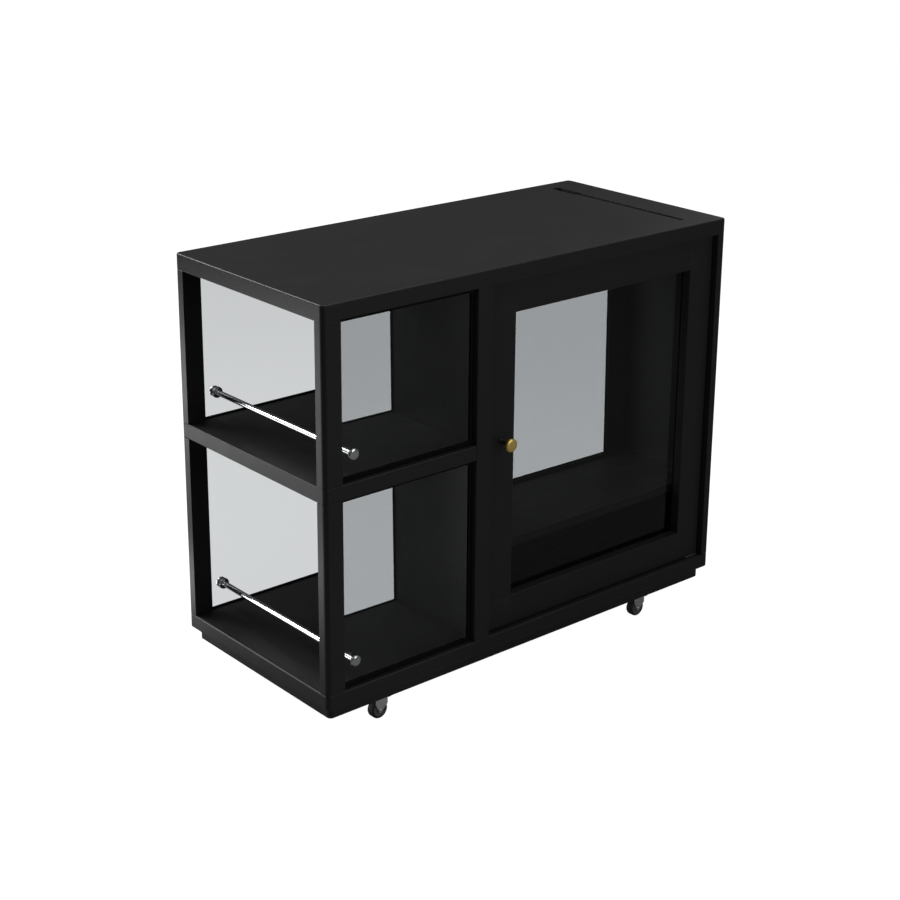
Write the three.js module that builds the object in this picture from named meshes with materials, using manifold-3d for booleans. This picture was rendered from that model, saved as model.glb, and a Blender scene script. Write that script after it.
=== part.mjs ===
// Kitchen island cart: two open glazed bays at the left end, a glass-door cabinet at the right,
// a full-length worktop and a plinth board on four swivel casters.
// Millimetres. +X runs along the cart to the cabinet, +Y to the back, +Z up; z = 0 is the floor.

import * as THREE from "three";
import { mergeVertices } from "three/addons/utils/BufferGeometryUtils.js";
import Module from "manifold-3d";

// ---- Overall sizes
const LENGTH = 1100;
const DEPTH = 498;
const BODY_HEIGHT = 830;

// ---- Boards and posts
const TOP_THICKNESS = 34;
const CORNER_RADIUS = 10;
const TOP_EDGE_BEVEL = 2;
const MID_SHELF_THICKNESS = 32;
const BOTTOM_THICKNESS = 32;
const LOWER_BAY_HEIGHT = 404;
const BAY_LENGTH = 380;
const DIVIDER_THICKNESS = 40;
const SIDE_THICKNESS = 23;
const POST_WIDTH = 43;
const POST_DEPTH = 26;
const BACK_STILE_WIDTH = 66;
const BACK_PANEL_RISE = 9;
const PLINTH_HEIGHT = 27.5;
const PLINTH_INSET = 15;
const JOINT_GAP = 0.3;

// ---- Cabinet shelf and the cleats it rests on
const CABINET_SHELF_TOP = 185;
const CABINET_SHELF_THICKNESS = 20;
const SHELF_SIDE_CLEARANCE = 1;
const SHELF_FRONT_SETBACK = 8;
const SHELF_BACK_SETBACK = 4;
const CLEAT_WIDTH = 14;
const CLEAT_HEIGHT = 18;
const CLEAT_SETBACK = 30;

// ---- Worktop hole and groove
const SLOT_INSET = 88;
const CABLE_HOLE_WIDTH = 24;
const CABLE_HOLE_LENGTH = 86;
const CABLE_HOLE_BACK_MARGIN = 44;
const GROOVE_WIDTH = 13;
const GROOVE_DEPTH = 7;
const GROOVE_FRONT_MARGIN = 48;

// ---- Glazing
const PANE_THICKNESS = 5;
const PANE_RECESS = 14;
const GASKET_LIP = 2;
const FRONT_GASKET_HEIGHT = 9;
const FRONT_GASKET_WEB = 3;
const BACK_GASKET_HEIGHT = 3;
const BACK_GASKET_WEB = 1.2;

// ---- Door
const DOOR_RECESS = 12;
const DOOR_THICKNESS = 26;
const DOOR_FRAME_WIDTH = 68;
const DOOR_GAP_LATCH = 3.5;
const DOOR_GAP_HINGE = 5;
const DOOR_GAP_TOP = 3;
const DOOR_GAP_BOTTOM = 3;
const DOOR_REBATE_WIDTH = 9;
const DOOR_BEAD_WIDTH = 14;
const DOOR_BEAD_THICKNESS = 2.5;

// ---- Pivot hinges
const PIVOT_INSET = 9;
const PIVOT_PIN_RADIUS = 3;
const PIVOT_PIN_LENGTH = 10;
const PIVOT_RUNNING_GAP = 0.3;
const PIVOT_PLATE_LENGTH = 38;
const PIVOT_PLATE_WIDTH = 14;
const PIVOT_PLATE_THICKNESS = 1.2;
const BUSH_WALL = 1.8;
const BUSH_LENGTH = 12;
const BUSH_FLANGE_RADIUS = 7;
const BUSH_FLANGE_THICKNESS = 0.8;

// ---- Knob with its stud, and the magnetic catch
const KNOB_HEIGHT_ABOVE_BODY = 456;
const KNOB_HEAD_RADIUS = 14;
const KNOB_HEAD_THICKNESS = 9;
const KNOB_NECK_RADIUS = 4.5;
const KNOB_FOOT_RADIUS = 6.5;
const KNOB_FOOT_THICKNESS = 2;
const KNOB_PROJECTION = 34;
const KNOB_STUD_RADIUS = 2.5;
const KNOB_STUD_LENGTH = 18;
const CATCH_DROP = 70;
const CATCH_LENGTH = 46;
const CATCH_WIDTH = 14;
const CATCH_DEPTH = 16;
const STRIKE_THICKNESS = 1.5;
const CATCH_AIR_GAP = 0.6;

// ---- Guard rails
const RAIL_RADIUS = 6;
const RAIL_INSET = 75;
const RAIL_HEIGHT = 54;
const RAIL_COLLAR_RADIUS = 12;
const RAIL_COLLAR_LENGTH = 8;
const CAP_RADIUS = 11.5;
const CAP_THICKNESS = 7;
const CAP_STANDOFF = 4;
const CAP_NECK_RADIUS = 7;
const STUD_RADIUS = 3.5;
const STUD_BITE = 12;

// ---- Casters
const CASTER_END_INSET = 175;
const CASTER_FACE_INSET = 43;
const CASTER_TRAIL = 19;
const WHEEL_RADIUS = 20;
const WHEEL_WIDTH = 18;
const WHEEL_EDGE = 3;
const WHEEL_DISH_RADIUS = 13;
const WHEEL_DISH_DEPTH = 1.5;
const AXLE_RADIUS = 3;
const AXLE_HEAD_RADIUS = 4.5;
const AXLE_HEAD_THICKNESS = 1.5;
const FORK_SHEET = 2;
const FORK_SIDE_GAP = 1;
const FORK_CROWN_RADIUS = 16;
const FORK_BOSS_RADIUS = 7;
const FORK_NOSE = 12;
const FORK_HEEL = 18;
const FORK_NOSE_HEIGHT = 13;
const FORK_HEEL_HEIGHT = 11;
const CASTER_PLATE_LENGTH = 46;
const CASTER_PLATE_WIDTH = 38;
const CASTER_PLATE_THICKNESS = 2.5;
const RACE_RADIUS = 14;
const RACE_HEIGHT = 4;
const KING_PIN_RADIUS = 3;
const KING_PIN_HEAD_RADIUS = 5.5;
const KING_PIN_HEAD_THICKNESS = 2;
const WHEEL_HEADROOM = 2.9;
const RUNNING_GAP = 0.4;

const ROUND_SEGMENTS = 16;
const WHEEL_SEGMENTS = 24;

// ---- Places worked out from the sizes above
const CROWN_BOTTOM_Z = 2 * WHEEL_RADIUS + WHEEL_HEADROOM + KING_PIN_HEAD_THICKNESS + RUNNING_GAP;
const CROWN_TOP_Z = CROWN_BOTTOM_Z + FORK_SHEET;
const RACE_BOTTOM_Z = CROWN_TOP_Z + RUNNING_GAP;
const CASTER_PLATE_Z = RACE_BOTTOM_Z + RACE_HEIGHT;
const PLINTH_BOTTOM_Z = CASTER_PLATE_Z + CASTER_PLATE_THICKNESS + JOINT_GAP;
const BODY_Z = PLINTH_BOTTOM_Z + PLINTH_HEIGHT;
const FLOOR_BOARD_Z = BODY_Z + BOTTOM_THICKNESS;
const MID_SHELF_Z = FLOOR_BOARD_Z + LOWER_BAY_HEIGHT;
const UPPER_FLOOR_Z = MID_SHELF_Z + MID_SHELF_THICKNESS;
const TOP_Z = BODY_Z + BODY_HEIGHT;
const CEILING_Z = TOP_Z - TOP_THICKNESS;
const BACK_PANEL_TOP_Z = FLOOR_BOARD_Z + CABINET_SHELF_TOP + BACK_PANEL_RISE;
const CABINET_X = BAY_LENGTH + DIVIDER_THICKNESS;
const SIDE_X = LENGTH - SIDE_THICKNESS;
const DOOR_BACK_Y = DOOR_RECESS + DOOR_THICKNESS;
const DOOR_PANE_Y = DOOR_BACK_Y - PANE_THICKNESS - 2 * JOINT_GAP;
const GASKET_DEPTH = PANE_THICKNESS + 2 * GASKET_LIP;
const FRONT_PANE_Y = PANE_RECESS + PANE_THICKNESS / 2;
const BACK_PANE_Y = DEPTH - FRONT_PANE_Y;
const KNOB_PROUD = KNOB_PROJECTION - DOOR_RECESS;

const wasm = await Module();
wasm.setup();

// ---- Finishes
function finish(color, roughness, metalness) {
  return new THREE.MeshStandardMaterial({ color, roughness, metalness });
}

const blackLacquer = finish(0x1b1b1c, 0.55, 0);
const clearGlass = finish(0xb9c2c4, 0.05, 0);
const blackRubber = finish(0x0c0c0c, 0.8, 0);
const chrome = finish(0xd8dadc, 0.12, 1);
const brass = finish(0xc9a040, 0.3, 1);
const zincSteel = finish(0xa4a7aa, 0.35, 1);
const greyNylon = finish(0x4a4b4d, 0.6, 0);
const tyreRubber = finish(0x161616, 0.75, 0);

const cart = new THREE.Group();

// ---- Helpers

/** Turns a closed geometry into a manifold solid for joining and cutting. */
function solidOf(geometry) {
  const bare = geometry.clone();
  bare.deleteAttribute("normal");
  bare.deleteAttribute("uv");
  const merged = mergeVertices(bare);
  return new wasm.Manifold(
    new wasm.Mesh({
      numProp: 3,
      vertProperties: merged.attributes.position.array,
      triVerts: new Uint32Array(merged.index.array),
    }),
  );
}

/** Turns a manifold solid back into a geometry. */
function geometryOf(solid) {
  const mesh = solid.getMesh();
  const geometry = new THREE.BufferGeometry();
  geometry.setAttribute("position", new THREE.BufferAttribute(mesh.vertProperties, 3));
  geometry.setIndex(new THREE.BufferAttribute(mesh.triVerts, 1));
  geometry.computeVertexNormals();
  return geometry;
}

function cut(geometry, ...tools) {
  return geometryOf(tools.reduce((solid, tool) => solid.subtract(solidOf(tool)), solidOf(geometry)));
}

function join(geometry, ...others) {
  return geometryOf(others.reduce((solid, other) => solid.add(solidOf(other)), solidOf(geometry)));
}

/** A round bar about the Y axis from y0 to y1. */
function barY(radius, y0, y1) {
  const bar = new THREE.CylinderGeometry(radius, radius, y1 - y0, ROUND_SEGMENTS);
  return bar.translate(0, (y0 + y1) / 2, 0);
}

/** A round bar about the Z axis from z0 to z1. */
function barZ(radius, z0, z1) {
  return barY(radius, z0, z1).rotateX(Math.PI / 2);
}

/** A body turned about the Y axis from [radius, y] pairs that run up the outside. */
function turnedY(profile, segments = ROUND_SEGMENTS) {
  return new THREE.LatheGeometry(
    profile.map(([radius, y]) => new THREE.Vector2(radius, y)),
    segments,
  );
}

/** A body turned about the Z axis. */
function turnedZ(profile) {
  return turnedY(profile).rotateX(Math.PI / 2);
}

/** A box between two corners. */
function box([x0, y0, z0], [x1, y1, z1]) {
  const geometry = new THREE.BoxGeometry(x1 - x0, y1 - y0, z1 - z0);
  return geometry.translate((x0 + x1) / 2, (y0 + y1) / 2, (z0 + z1) / 2);
}

/** Adds a named mesh to a group, at a place given in the group's frame. */
function add(group, name, geometry, material, place = [0, 0, 0]) {
  const mesh = new THREE.Mesh(geometry, material);
  mesh.name = name;
  mesh.position.set(...place);
  group.add(mesh);
  return mesh;
}

/** Adds a plain board whose low corner and size are given; the mesh sits at the board's centre. */
function board(group, name, low, size, material = blackLacquer) {
  const centre = low.map((value, axis) => value + size[axis] / 2);
  return add(group, name, new THREE.BoxGeometry(...size), material, centre);
}

/**
 * Adds a board whose upright edges are rounded where they are a corner of the cart. The corners
 * are named by where they lie, as in "front left".
 */
function corneredBoard(group, name, low, size, corners) {
  const [halfX, halfY] = [size[0] / 2, size[1] / 2];
  const places = [
    ["front right", halfX, -halfY, 1.5 * Math.PI],
    ["back right", halfX, halfY, 0],
    ["back left", -halfX, halfY, 0.5 * Math.PI],
    ["front left", -halfX, -halfY, Math.PI],
  ];
  const outline = new THREE.Shape();
  outline.moveTo(0, -halfY);
  for (const [corner, x, y, start] of places) {
    if (corners.includes(corner)) {
      const centreX = x - Math.sign(x) * CORNER_RADIUS;
      const centreY = y - Math.sign(y) * CORNER_RADIUS;
      outline.absarc(centreX, centreY, CORNER_RADIUS, start, start + Math.PI / 2, false);
    } else {
      outline.lineTo(x, y);
    }
  }
  const slab = new THREE.ExtrudeGeometry(outline, { depth: size[2], bevelEnabled: false, curveSegments: 5 });
  const centre = low.map((value, axis) => value + size[axis] / 2);
  return add(group, name, slab.translate(0, 0, -size[2] / 2), blackLacquer, centre);
}

/** A straight slot outline with round ends, along Y, centred on x. */
function slotShape(x, y0, y1, width) {
  const radius = width / 2;
  const shape = new THREE.Shape();
  shape.absarc(x, y0 + radius, radius, Math.PI, 2 * Math.PI, false);
  shape.absarc(x, y1 - radius, radius, 0, Math.PI, false);
  return shape;
}

// ---- Carcass

/** The worktop, with its round corners, cable hole and tablet groove. */
function topPanel() {
  const outline = new THREE.Shape();
  const r = CORNER_RADIUS;
  outline.absarc(r, r, r, Math.PI, 1.5 * Math.PI, false);
  outline.absarc(LENGTH - r, r, r, 1.5 * Math.PI, 2 * Math.PI, false);
  outline.absarc(LENGTH - r, DEPTH - r, r, 0, 0.5 * Math.PI, false);
  outline.absarc(r, DEPTH - r, r, 0.5 * Math.PI, Math.PI, false);
  const slab = new THREE.ExtrudeGeometry(outline, {
    depth: TOP_THICKNESS - 2 * TOP_EDGE_BEVEL,
    bevelThickness: TOP_EDGE_BEVEL,
    bevelSize: TOP_EDGE_BEVEL,
    bevelOffset: -TOP_EDGE_BEVEL,
    bevelSegments: 2,
    curveSegments: 4,
  }).translate(0, 0, TOP_EDGE_BEVEL);
  const slotX = LENGTH - SLOT_INSET;
  const holeBackY = DEPTH - CABLE_HOLE_BACK_MARGIN;
  const holeFrontY = holeBackY - CABLE_HOLE_LENGTH;
  const hole = new THREE.ExtrudeGeometry(slotShape(slotX, holeFrontY, holeBackY, CABLE_HOLE_WIDTH), {
    depth: 2 * TOP_THICKNESS,
    bevelEnabled: false,
    curveSegments: 8,
  }).translate(0, 0, -TOP_THICKNESS / 2);
  const grooveBackY = holeFrontY + CABLE_HOLE_WIDTH / 2;
  const groove = new THREE.ExtrudeGeometry(slotShape(slotX, GROOVE_FRONT_MARGIN, grooveBackY, GROOVE_WIDTH), {
    depth: TOP_THICKNESS,
    bevelEnabled: false,
    curveSegments: 6,
  }).translate(0, 0, TOP_THICKNESS - GROOVE_DEPTH);
  return cut(slab, hole, groove);
}

function addCarcass() {
  add(cart, "top_panel", topPanel(), blackLacquer, [0, 0, CEILING_Z]);
  const leftCorners = ["front left", "back left"];
  const rightCorners = ["front right", "back right"];
  const allCorners = [...leftCorners, ...rightCorners];
  corneredBoard(cart, "bottom_panel", [0, 0, BODY_Z], [LENGTH, DEPTH, BOTTOM_THICKNESS], allCorners);
  const shelfSize = [BAY_LENGTH - JOINT_GAP, DEPTH, MID_SHELF_THICKNESS];
  corneredBoard(cart, "mid_shelf", [0, 0, MID_SHELF_Z], shelfSize, leftCorners);
  const uprightZ = FLOOR_BOARD_Z + JOINT_GAP;
  const uprightHeight = CEILING_Z - FLOOR_BOARD_Z - 2 * JOINT_GAP;
  board(cart, "divider_panel", [BAY_LENGTH, 0, uprightZ], [DIVIDER_THICKNESS, DEPTH, uprightHeight]);
  const sideSize = [SIDE_THICKNESS, DEPTH, uprightHeight];
  corneredBoard(cart, "side_panel_right", [SIDE_X, 0, uprightZ], sideSize, rightCorners);
  const stileX = SIDE_X - BACK_STILE_WIDTH;
  const stileWidth = BACK_STILE_WIDTH - JOINT_GAP;
  const backY = DEPTH - POST_DEPTH;
  board(cart, "back_stile_right", [stileX, backY, uprightZ], [stileWidth, POST_DEPTH, uprightHeight]);
  const backPanelX = CABINET_X + JOINT_GAP;
  const backPanelSize = [stileX - JOINT_GAP - backPanelX, POST_DEPTH, BACK_PANEL_TOP_Z - uprightZ];
  board(cart, "back_panel_lower", [backPanelX, backY, uprightZ], backPanelSize);
  for (const [level, floorZ, ceilingZ] of bays()) {
    const height = ceilingZ - floorZ - 2 * JOINT_GAP;
    for (const [side, y] of [["front", 0], ["back", backY]]) {
      const low = [0, y, floorZ + JOINT_GAP];
      const postSize = [POST_WIDTH, POST_DEPTH, height];
      corneredBoard(cart, `post_${side}_left_${level}`, low, postSize, [`${side} left`]);
    }
  }
  const plinthLength = LENGTH - 2 * PLINTH_INSET;
  const plinthDepth = DEPTH - 2 * PLINTH_INSET;
  const plinthLow = [PLINTH_INSET, PLINTH_INSET, PLINTH_BOTTOM_Z];
  const plinthSize = [plinthLength, plinthDepth, PLINTH_HEIGHT - JOINT_GAP];
  corneredBoard(cart, "plinth_board", plinthLow, plinthSize, allCorners);
}

/** The two open bays as [name, floor height, ceiling height]. */
function bays() {
  return [
    ["lower", FLOOR_BOARD_Z, MID_SHELF_Z],
    ["upper", UPPER_FLOOR_Z, CEILING_Z],
  ];
}

/** The shelf inside the cabinet and the two cleats under its ends. */
function addCabinetShelf() {
  const topZ = FLOOR_BOARD_Z + CABINET_SHELF_TOP;
  const bottomZ = topZ - CABINET_SHELF_THICKNESS;
  const frontY = DOOR_BACK_Y + SHELF_FRONT_SETBACK;
  const backY = DEPTH - POST_DEPTH - SHELF_BACK_SETBACK;
  const shelfX = CABINET_X + SHELF_SIDE_CLEARANCE;
  const shelfLength = SIDE_X - CABINET_X - 2 * SHELF_SIDE_CLEARANCE;
  const shelfSize = [shelfLength, backY - frontY, CABINET_SHELF_THICKNESS];
  board(cart, "cabinet_shelf", [shelfX, frontY, bottomZ], shelfSize);
  const cleatLength = backY - frontY - 2 * CLEAT_SETBACK;
  const cleatZ = bottomZ - JOINT_GAP - CLEAT_HEIGHT;
  const cleats = [
    ["shelf_cleat_left", CABINET_X + JOINT_GAP],
    ["shelf_cleat_right", SIDE_X - JOINT_GAP - CLEAT_WIDTH],
  ];
  for (const [name, x] of cleats) {
    board(cart, name, [x, frontY + CLEAT_SETBACK, cleatZ], [CLEAT_WIDTH, cleatLength, CLEAT_HEIGHT]);
  }
}

// ---- Glazing

/** How far a gasket reaches into its opening, and how thick it is outside the pane's edge. */
const frontGasket = { height: FRONT_GASKET_HEIGHT, web: FRONT_GASKET_WEB };
const backGasket = { height: BACK_GASKET_HEIGHT, web: BACK_GASKET_WEB };

/** Adds a pane and the channel gasket round it to an opening; studAt is the guard rail's hole. */
function addGlazing(name, [x0, z0], [x1, z1], y, gasket, studAt) {
  const width = x1 - x0;
  const height = z1 - z0;
  const group = new THREE.Group();
  group.position.set((x0 + x1) / 2, y, (z0 + z1) / 2);
  cart.add(group);
  const paneWidth = width - 2 * gasket.web;
  const paneHeight = height - 2 * gasket.web;
  let pane = new THREE.BoxGeometry(paneWidth, PANE_THICKNESS, paneHeight);
  if (studAt) {
    const hole = barY(STUD_RADIUS + RUNNING_GAP, -PANE_THICKNESS, PANE_THICKNESS);
    hole.translate(studAt[0] - group.position.x, 0, studAt[1] - group.position.z);
    pane = cut(pane, hole);
  }
  add(group, `pane_${name}`, pane, clearGlass);
  const outer = new THREE.BoxGeometry(width - 2 * JOINT_GAP, GASKET_DEPTH, height - 2 * JOINT_GAP);
  const sightWidth = width - 2 * gasket.height;
  const sightHeight = height - 2 * gasket.height;
  const sight = new THREE.BoxGeometry(sightWidth, 2 * GASKET_DEPTH, sightHeight);
  const channelWidth = paneWidth + 2 * JOINT_GAP;
  const channelHeight = paneHeight + 2 * JOINT_GAP;
  const channel = new THREE.BoxGeometry(channelWidth, PANE_THICKNESS + 2 * JOINT_GAP, channelHeight);
  add(group, `gasket_${name}`, cut(outer, sight, channel), blackRubber);
}

function addAllGlazing() {
  for (const [level, floorZ, ceilingZ] of bays()) {
    const stud = [RAIL_INSET, floorZ + RAIL_HEIGHT];
    const low = [POST_WIDTH, floorZ];
    const high = [BAY_LENGTH, ceilingZ];
    addGlazing(`front_${level}`, low, high, FRONT_PANE_Y, frontGasket, stud);
    addGlazing(`back_${level}`, low, high, BACK_PANE_Y, backGasket, stud);
  }
  const cabinetHigh = [SIDE_X - BACK_STILE_WIDTH, CEILING_Z];
  addGlazing("back_cabinet", [CABINET_X, BACK_PANEL_TOP_Z], cabinetHigh, BACK_PANE_Y, backGasket, null);
}

// ---- Guard rails

/** The chrome rod between the two panes, with a collar at the back and a blind bore in each end. */
function railRod(length) {
  const bore = STUD_RADIUS + RUNNING_GAP;
  const boreDepth = STUD_BITE + 2;
  return turnedY([
    [0, boreDepth],
    [bore, boreDepth],
    [bore, 0],
    [RAIL_RADIUS, 0],
    [RAIL_RADIUS, length - RAIL_COLLAR_LENGTH],
    [RAIL_COLLAR_RADIUS - 2, length - RAIL_COLLAR_LENGTH],
    [RAIL_COLLAR_RADIUS, length - RAIL_COLLAR_LENGTH + 2],
    [RAIL_COLLAR_RADIUS, length - 1],
    [RAIL_COLLAR_RADIUS - 1, length],
    [bore, length],
    [bore, length - boreDepth],
    [0, length - boreDepth],
  ]);
}

/** A domed cap on a neck, with the stud that passes the pane; y = 0 is the pane's outer face. */
function railCap() {
  const faceY = -CAP_STANDOFF - CAP_THICKNESS;
  const studY = PANE_THICKNESS + JOINT_GAP + STUD_BITE;
  return turnedY([
    [0, faceY],
    [CAP_RADIUS - 3, faceY + 0.4],
    [CAP_RADIUS - 0.8, faceY + 1.6],
    [CAP_RADIUS, faceY + 3],
    [CAP_RADIUS, faceY + CAP_THICKNESS - 1],
    [CAP_RADIUS - 1, faceY + CAP_THICKNESS],
    [CAP_NECK_RADIUS, faceY + CAP_THICKNESS],
    [CAP_NECK_RADIUS, -JOINT_GAP],
    [STUD_RADIUS, -JOINT_GAP],
    [STUD_RADIUS, studY],
    [0, studY],
  ]);
}

function addGuardRails() {
  const frontInnerY = PANE_RECESS + PANE_THICKNESS + JOINT_GAP;
  const backInnerY = DEPTH - frontInnerY;
  for (const [level, floorZ] of bays()) {
    const group = new THREE.Group();
    group.position.set(RAIL_INSET, 0, floorZ + RAIL_HEIGHT);
    cart.add(group);
    add(group, `guard_rail_${level}`, railRod(backInnerY - frontInnerY), chrome, [0, frontInnerY, 0]);
    add(group, `rail_cap_front_${level}`, railCap(), chrome, [0, PANE_RECESS, 0]);
    const backCap = add(group, `rail_cap_back_${level}`, railCap(), chrome, [0, DEPTH - PANE_RECESS, 0]);
    backCap.rotation.z = Math.PI;
  }
}

// ---- Door

const DOOR_LEFT_X = CABINET_X + DOOR_GAP_LATCH;
const DOOR_RIGHT_X = SIDE_X - DOOR_GAP_HINGE;
const DOOR_BOTTOM_Z = FLOOR_BOARD_Z + DOOR_GAP_BOTTOM;
const DOOR_TOP_Z = CEILING_Z - DOOR_GAP_TOP;
const PIVOT_X = DOOR_RIGHT_X - PIVOT_INSET;
const PIVOT_Y = DOOR_RECESS + PIVOT_INSET;
const BUSH_RADIUS = PIVOT_PIN_RADIUS + PIVOT_RUNNING_GAP + BUSH_WALL;
const KNOB_X = DOOR_LEFT_X + DOOR_FRAME_WIDTH / 2;
const KNOB_Z = BODY_Z + KNOB_HEIGHT_ABOVE_BODY;
const CATCH_Z = DOOR_TOP_Z - CATCH_DROP - CATCH_LENGTH;

/** The rebate cut from the back of the door frame, for the pane. */
function doorRebate() {
  const inset = DOOR_FRAME_WIDTH - DOOR_REBATE_WIDTH;
  return box(
    [DOOR_LEFT_X + inset, DOOR_PANE_Y, DOOR_BOTTOM_Z + inset],
    [DOOR_RIGHT_X - inset, DOOR_BACK_Y + 1, DOOR_TOP_Z - inset],
  );
}

/** The two blind bores that take the pivot bushes, at the top and bottom of the hinge stile. */
function bushBores() {
  const radius = BUSH_RADIUS + JOINT_GAP;
  const depth = BUSH_LENGTH + JOINT_GAP;
  const upper = barZ(radius, DOOR_TOP_Z - depth, DOOR_TOP_Z + 1).translate(PIVOT_X, PIVOT_Y, 0);
  const lower = barZ(radius, DOOR_BOTTOM_Z - 1, DOOR_BOTTOM_Z + depth).translate(PIVOT_X, PIVOT_Y, 0);
  return [upper, lower];
}

function addDoorFrame(door) {
  const frontY = DOOR_RECESS;
  const backY = DOOR_BACK_Y;
  const leftInnerX = DOOR_LEFT_X + DOOR_FRAME_WIDTH;
  const rightInnerX = DOOR_RIGHT_X - DOOR_FRAME_WIDTH;
  const rebate = doorRebate();
  const left = box([DOOR_LEFT_X, frontY, DOOR_BOTTOM_Z], [leftInnerX, backY, DOOR_TOP_Z]);
  const studHole = barY(KNOB_STUD_RADIUS + JOINT_GAP, frontY - 1, frontY + KNOB_STUD_LENGTH + 1);
  studHole.translate(KNOB_X, 0, KNOB_Z);
  add(door, "door_stile_latch", cut(left, rebate, studHole), blackLacquer);
  const right = box([rightInnerX, frontY, DOOR_BOTTOM_Z], [DOOR_RIGHT_X, backY, DOOR_TOP_Z]);
  add(door, "door_stile_hinge", cut(right, rebate, ...bushBores()), blackLacquer);
  const railX = [leftInnerX + JOINT_GAP, rightInnerX - JOINT_GAP];
  const bottom = box([railX[0], frontY, DOOR_BOTTOM_Z], [railX[1], backY, DOOR_BOTTOM_Z + DOOR_FRAME_WIDTH]);
  add(door, "door_rail_bottom", cut(bottom, rebate), blackLacquer);
  const top = box([railX[0], frontY, DOOR_TOP_Z - DOOR_FRAME_WIDTH], [railX[1], backY, DOOR_TOP_Z]);
  add(door, "door_rail_top", cut(top, rebate), blackLacquer);
}

/** The door's pane in its rebate and the bead frame that holds it from behind. */
function addDoorGlazing(door) {
  const inset = DOOR_FRAME_WIDTH - DOOR_REBATE_WIDTH + JOINT_GAP;
  const paneY = DOOR_PANE_Y + JOINT_GAP;
  const pane = box(
    [DOOR_LEFT_X + inset, paneY, DOOR_BOTTOM_Z + inset],
    [DOOR_RIGHT_X - inset, paneY + PANE_THICKNESS, DOOR_TOP_Z - inset],
  );
  add(door, "door_pane", pane, clearGlass);
  const beadInset = DOOR_FRAME_WIDTH - DOOR_BEAD_WIDTH;
  const beadY = DOOR_BACK_Y + JOINT_GAP;
  const bead = box(
    [DOOR_LEFT_X + beadInset, beadY, DOOR_BOTTOM_Z + beadInset],
    [DOOR_RIGHT_X - beadInset, beadY + DOOR_BEAD_THICKNESS, DOOR_TOP_Z - beadInset],
  );
  const sight = box(
    [DOOR_LEFT_X + DOOR_FRAME_WIDTH, beadY - 1, DOOR_BOTTOM_Z + DOOR_FRAME_WIDTH],
    [DOOR_RIGHT_X - DOOR_FRAME_WIDTH, beadY + DOOR_BEAD_THICKNESS + 1, DOOR_TOP_Z - DOOR_FRAME_WIDTH],
  );
  add(door, "door_bead", cut(bead, sight), blackRubber);
}

/** The knob and its stud; y = 0 is the door's face and the head stands out towards -Y. */
function knobBody() {
  const tipY = -KNOB_PROJECTION;
  const headBackY = tipY + KNOB_HEAD_THICKNESS;
  return turnedY([
    [0, tipY],
    [KNOB_HEAD_RADIUS * 0.75, tipY + 0.4],
    [KNOB_HEAD_RADIUS * 0.94, tipY + 1.4],
    [KNOB_HEAD_RADIUS, tipY + 3],
    [KNOB_HEAD_RADIUS, headBackY - 3],
    [KNOB_HEAD_RADIUS * 0.85, headBackY],
    [KNOB_NECK_RADIUS, headBackY + 2],
    [KNOB_NECK_RADIUS, -KNOB_FOOT_THICKNESS],
    [KNOB_FOOT_RADIUS, -KNOB_FOOT_THICKNESS + 0.6],
    [KNOB_FOOT_RADIUS, -JOINT_GAP],
    [KNOB_STUD_RADIUS, -JOINT_GAP],
    [KNOB_STUD_RADIUS, KNOB_STUD_LENGTH],
    [0, KNOB_STUD_LENGTH],
  ]);
}

/** A flanged bush; z = 0 is the outside of the flange, which faces +Z. */
function pivotBush() {
  const bore = PIVOT_PIN_RADIUS + PIVOT_RUNNING_GAP;
  const shoulderZ = -BUSH_FLANGE_THICKNESS;
  const endZ = shoulderZ - BUSH_LENGTH;
  return turnedZ([
    [0, endZ],
    [BUSH_RADIUS, endZ],
    [BUSH_RADIUS, shoulderZ],
    [BUSH_FLANGE_RADIUS, shoulderZ],
    [BUSH_FLANGE_RADIUS, 0],
    [bore, 0],
    [bore, endZ + 1],
    [0, endZ + 1],
  ]);
}

/** A carcass plate with its pin; z = 0 is the face that the bush's flange runs on, the pin points to -Z. */
function pivotPlate() {
  const plateRightX = PIVOT_INSET + DOOR_GAP_HINGE - 2 * JOINT_GAP;
  const plate = box(
    [plateRightX - PIVOT_PLATE_LENGTH, -PIVOT_PLATE_WIDTH / 2, 0],
    [plateRightX, PIVOT_PLATE_WIDTH / 2, PIVOT_PLATE_THICKNESS],
  );
  return join(plate, barZ(PIVOT_PIN_RADIUS, -PIVOT_PIN_LENGTH, PIVOT_PLATE_THICKNESS / 2));
}

/** Places a plate and a bush of one pivot; upwards is true for the pivot under the worktop. */
function addPivot(door, end, upwards) {
  const direction = upwards ? 1 : -1;
  const boardZ = upwards ? CEILING_Z : FLOOR_BOARD_Z;
  const doorZ = upwards ? DOOR_TOP_Z : DOOR_BOTTOM_Z;
  const plateZ = boardZ - direction * (JOINT_GAP + PIVOT_PLATE_THICKNESS);
  const bushZ = doorZ + direction * (JOINT_GAP + BUSH_FLANGE_THICKNESS);
  const plate = pivotPlate();
  const bush = pivotBush();
  if (!upwards) {
    plate.rotateX(Math.PI);
    bush.rotateX(Math.PI);
  }
  add(cart, `pivot_plate_${end}`, plate, zincSteel, [PIVOT_X, PIVOT_Y, plateZ]);
  add(door, `pivot_bush_${end}`, bush, brass, [PIVOT_X, PIVOT_Y, bushZ]);
}

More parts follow.
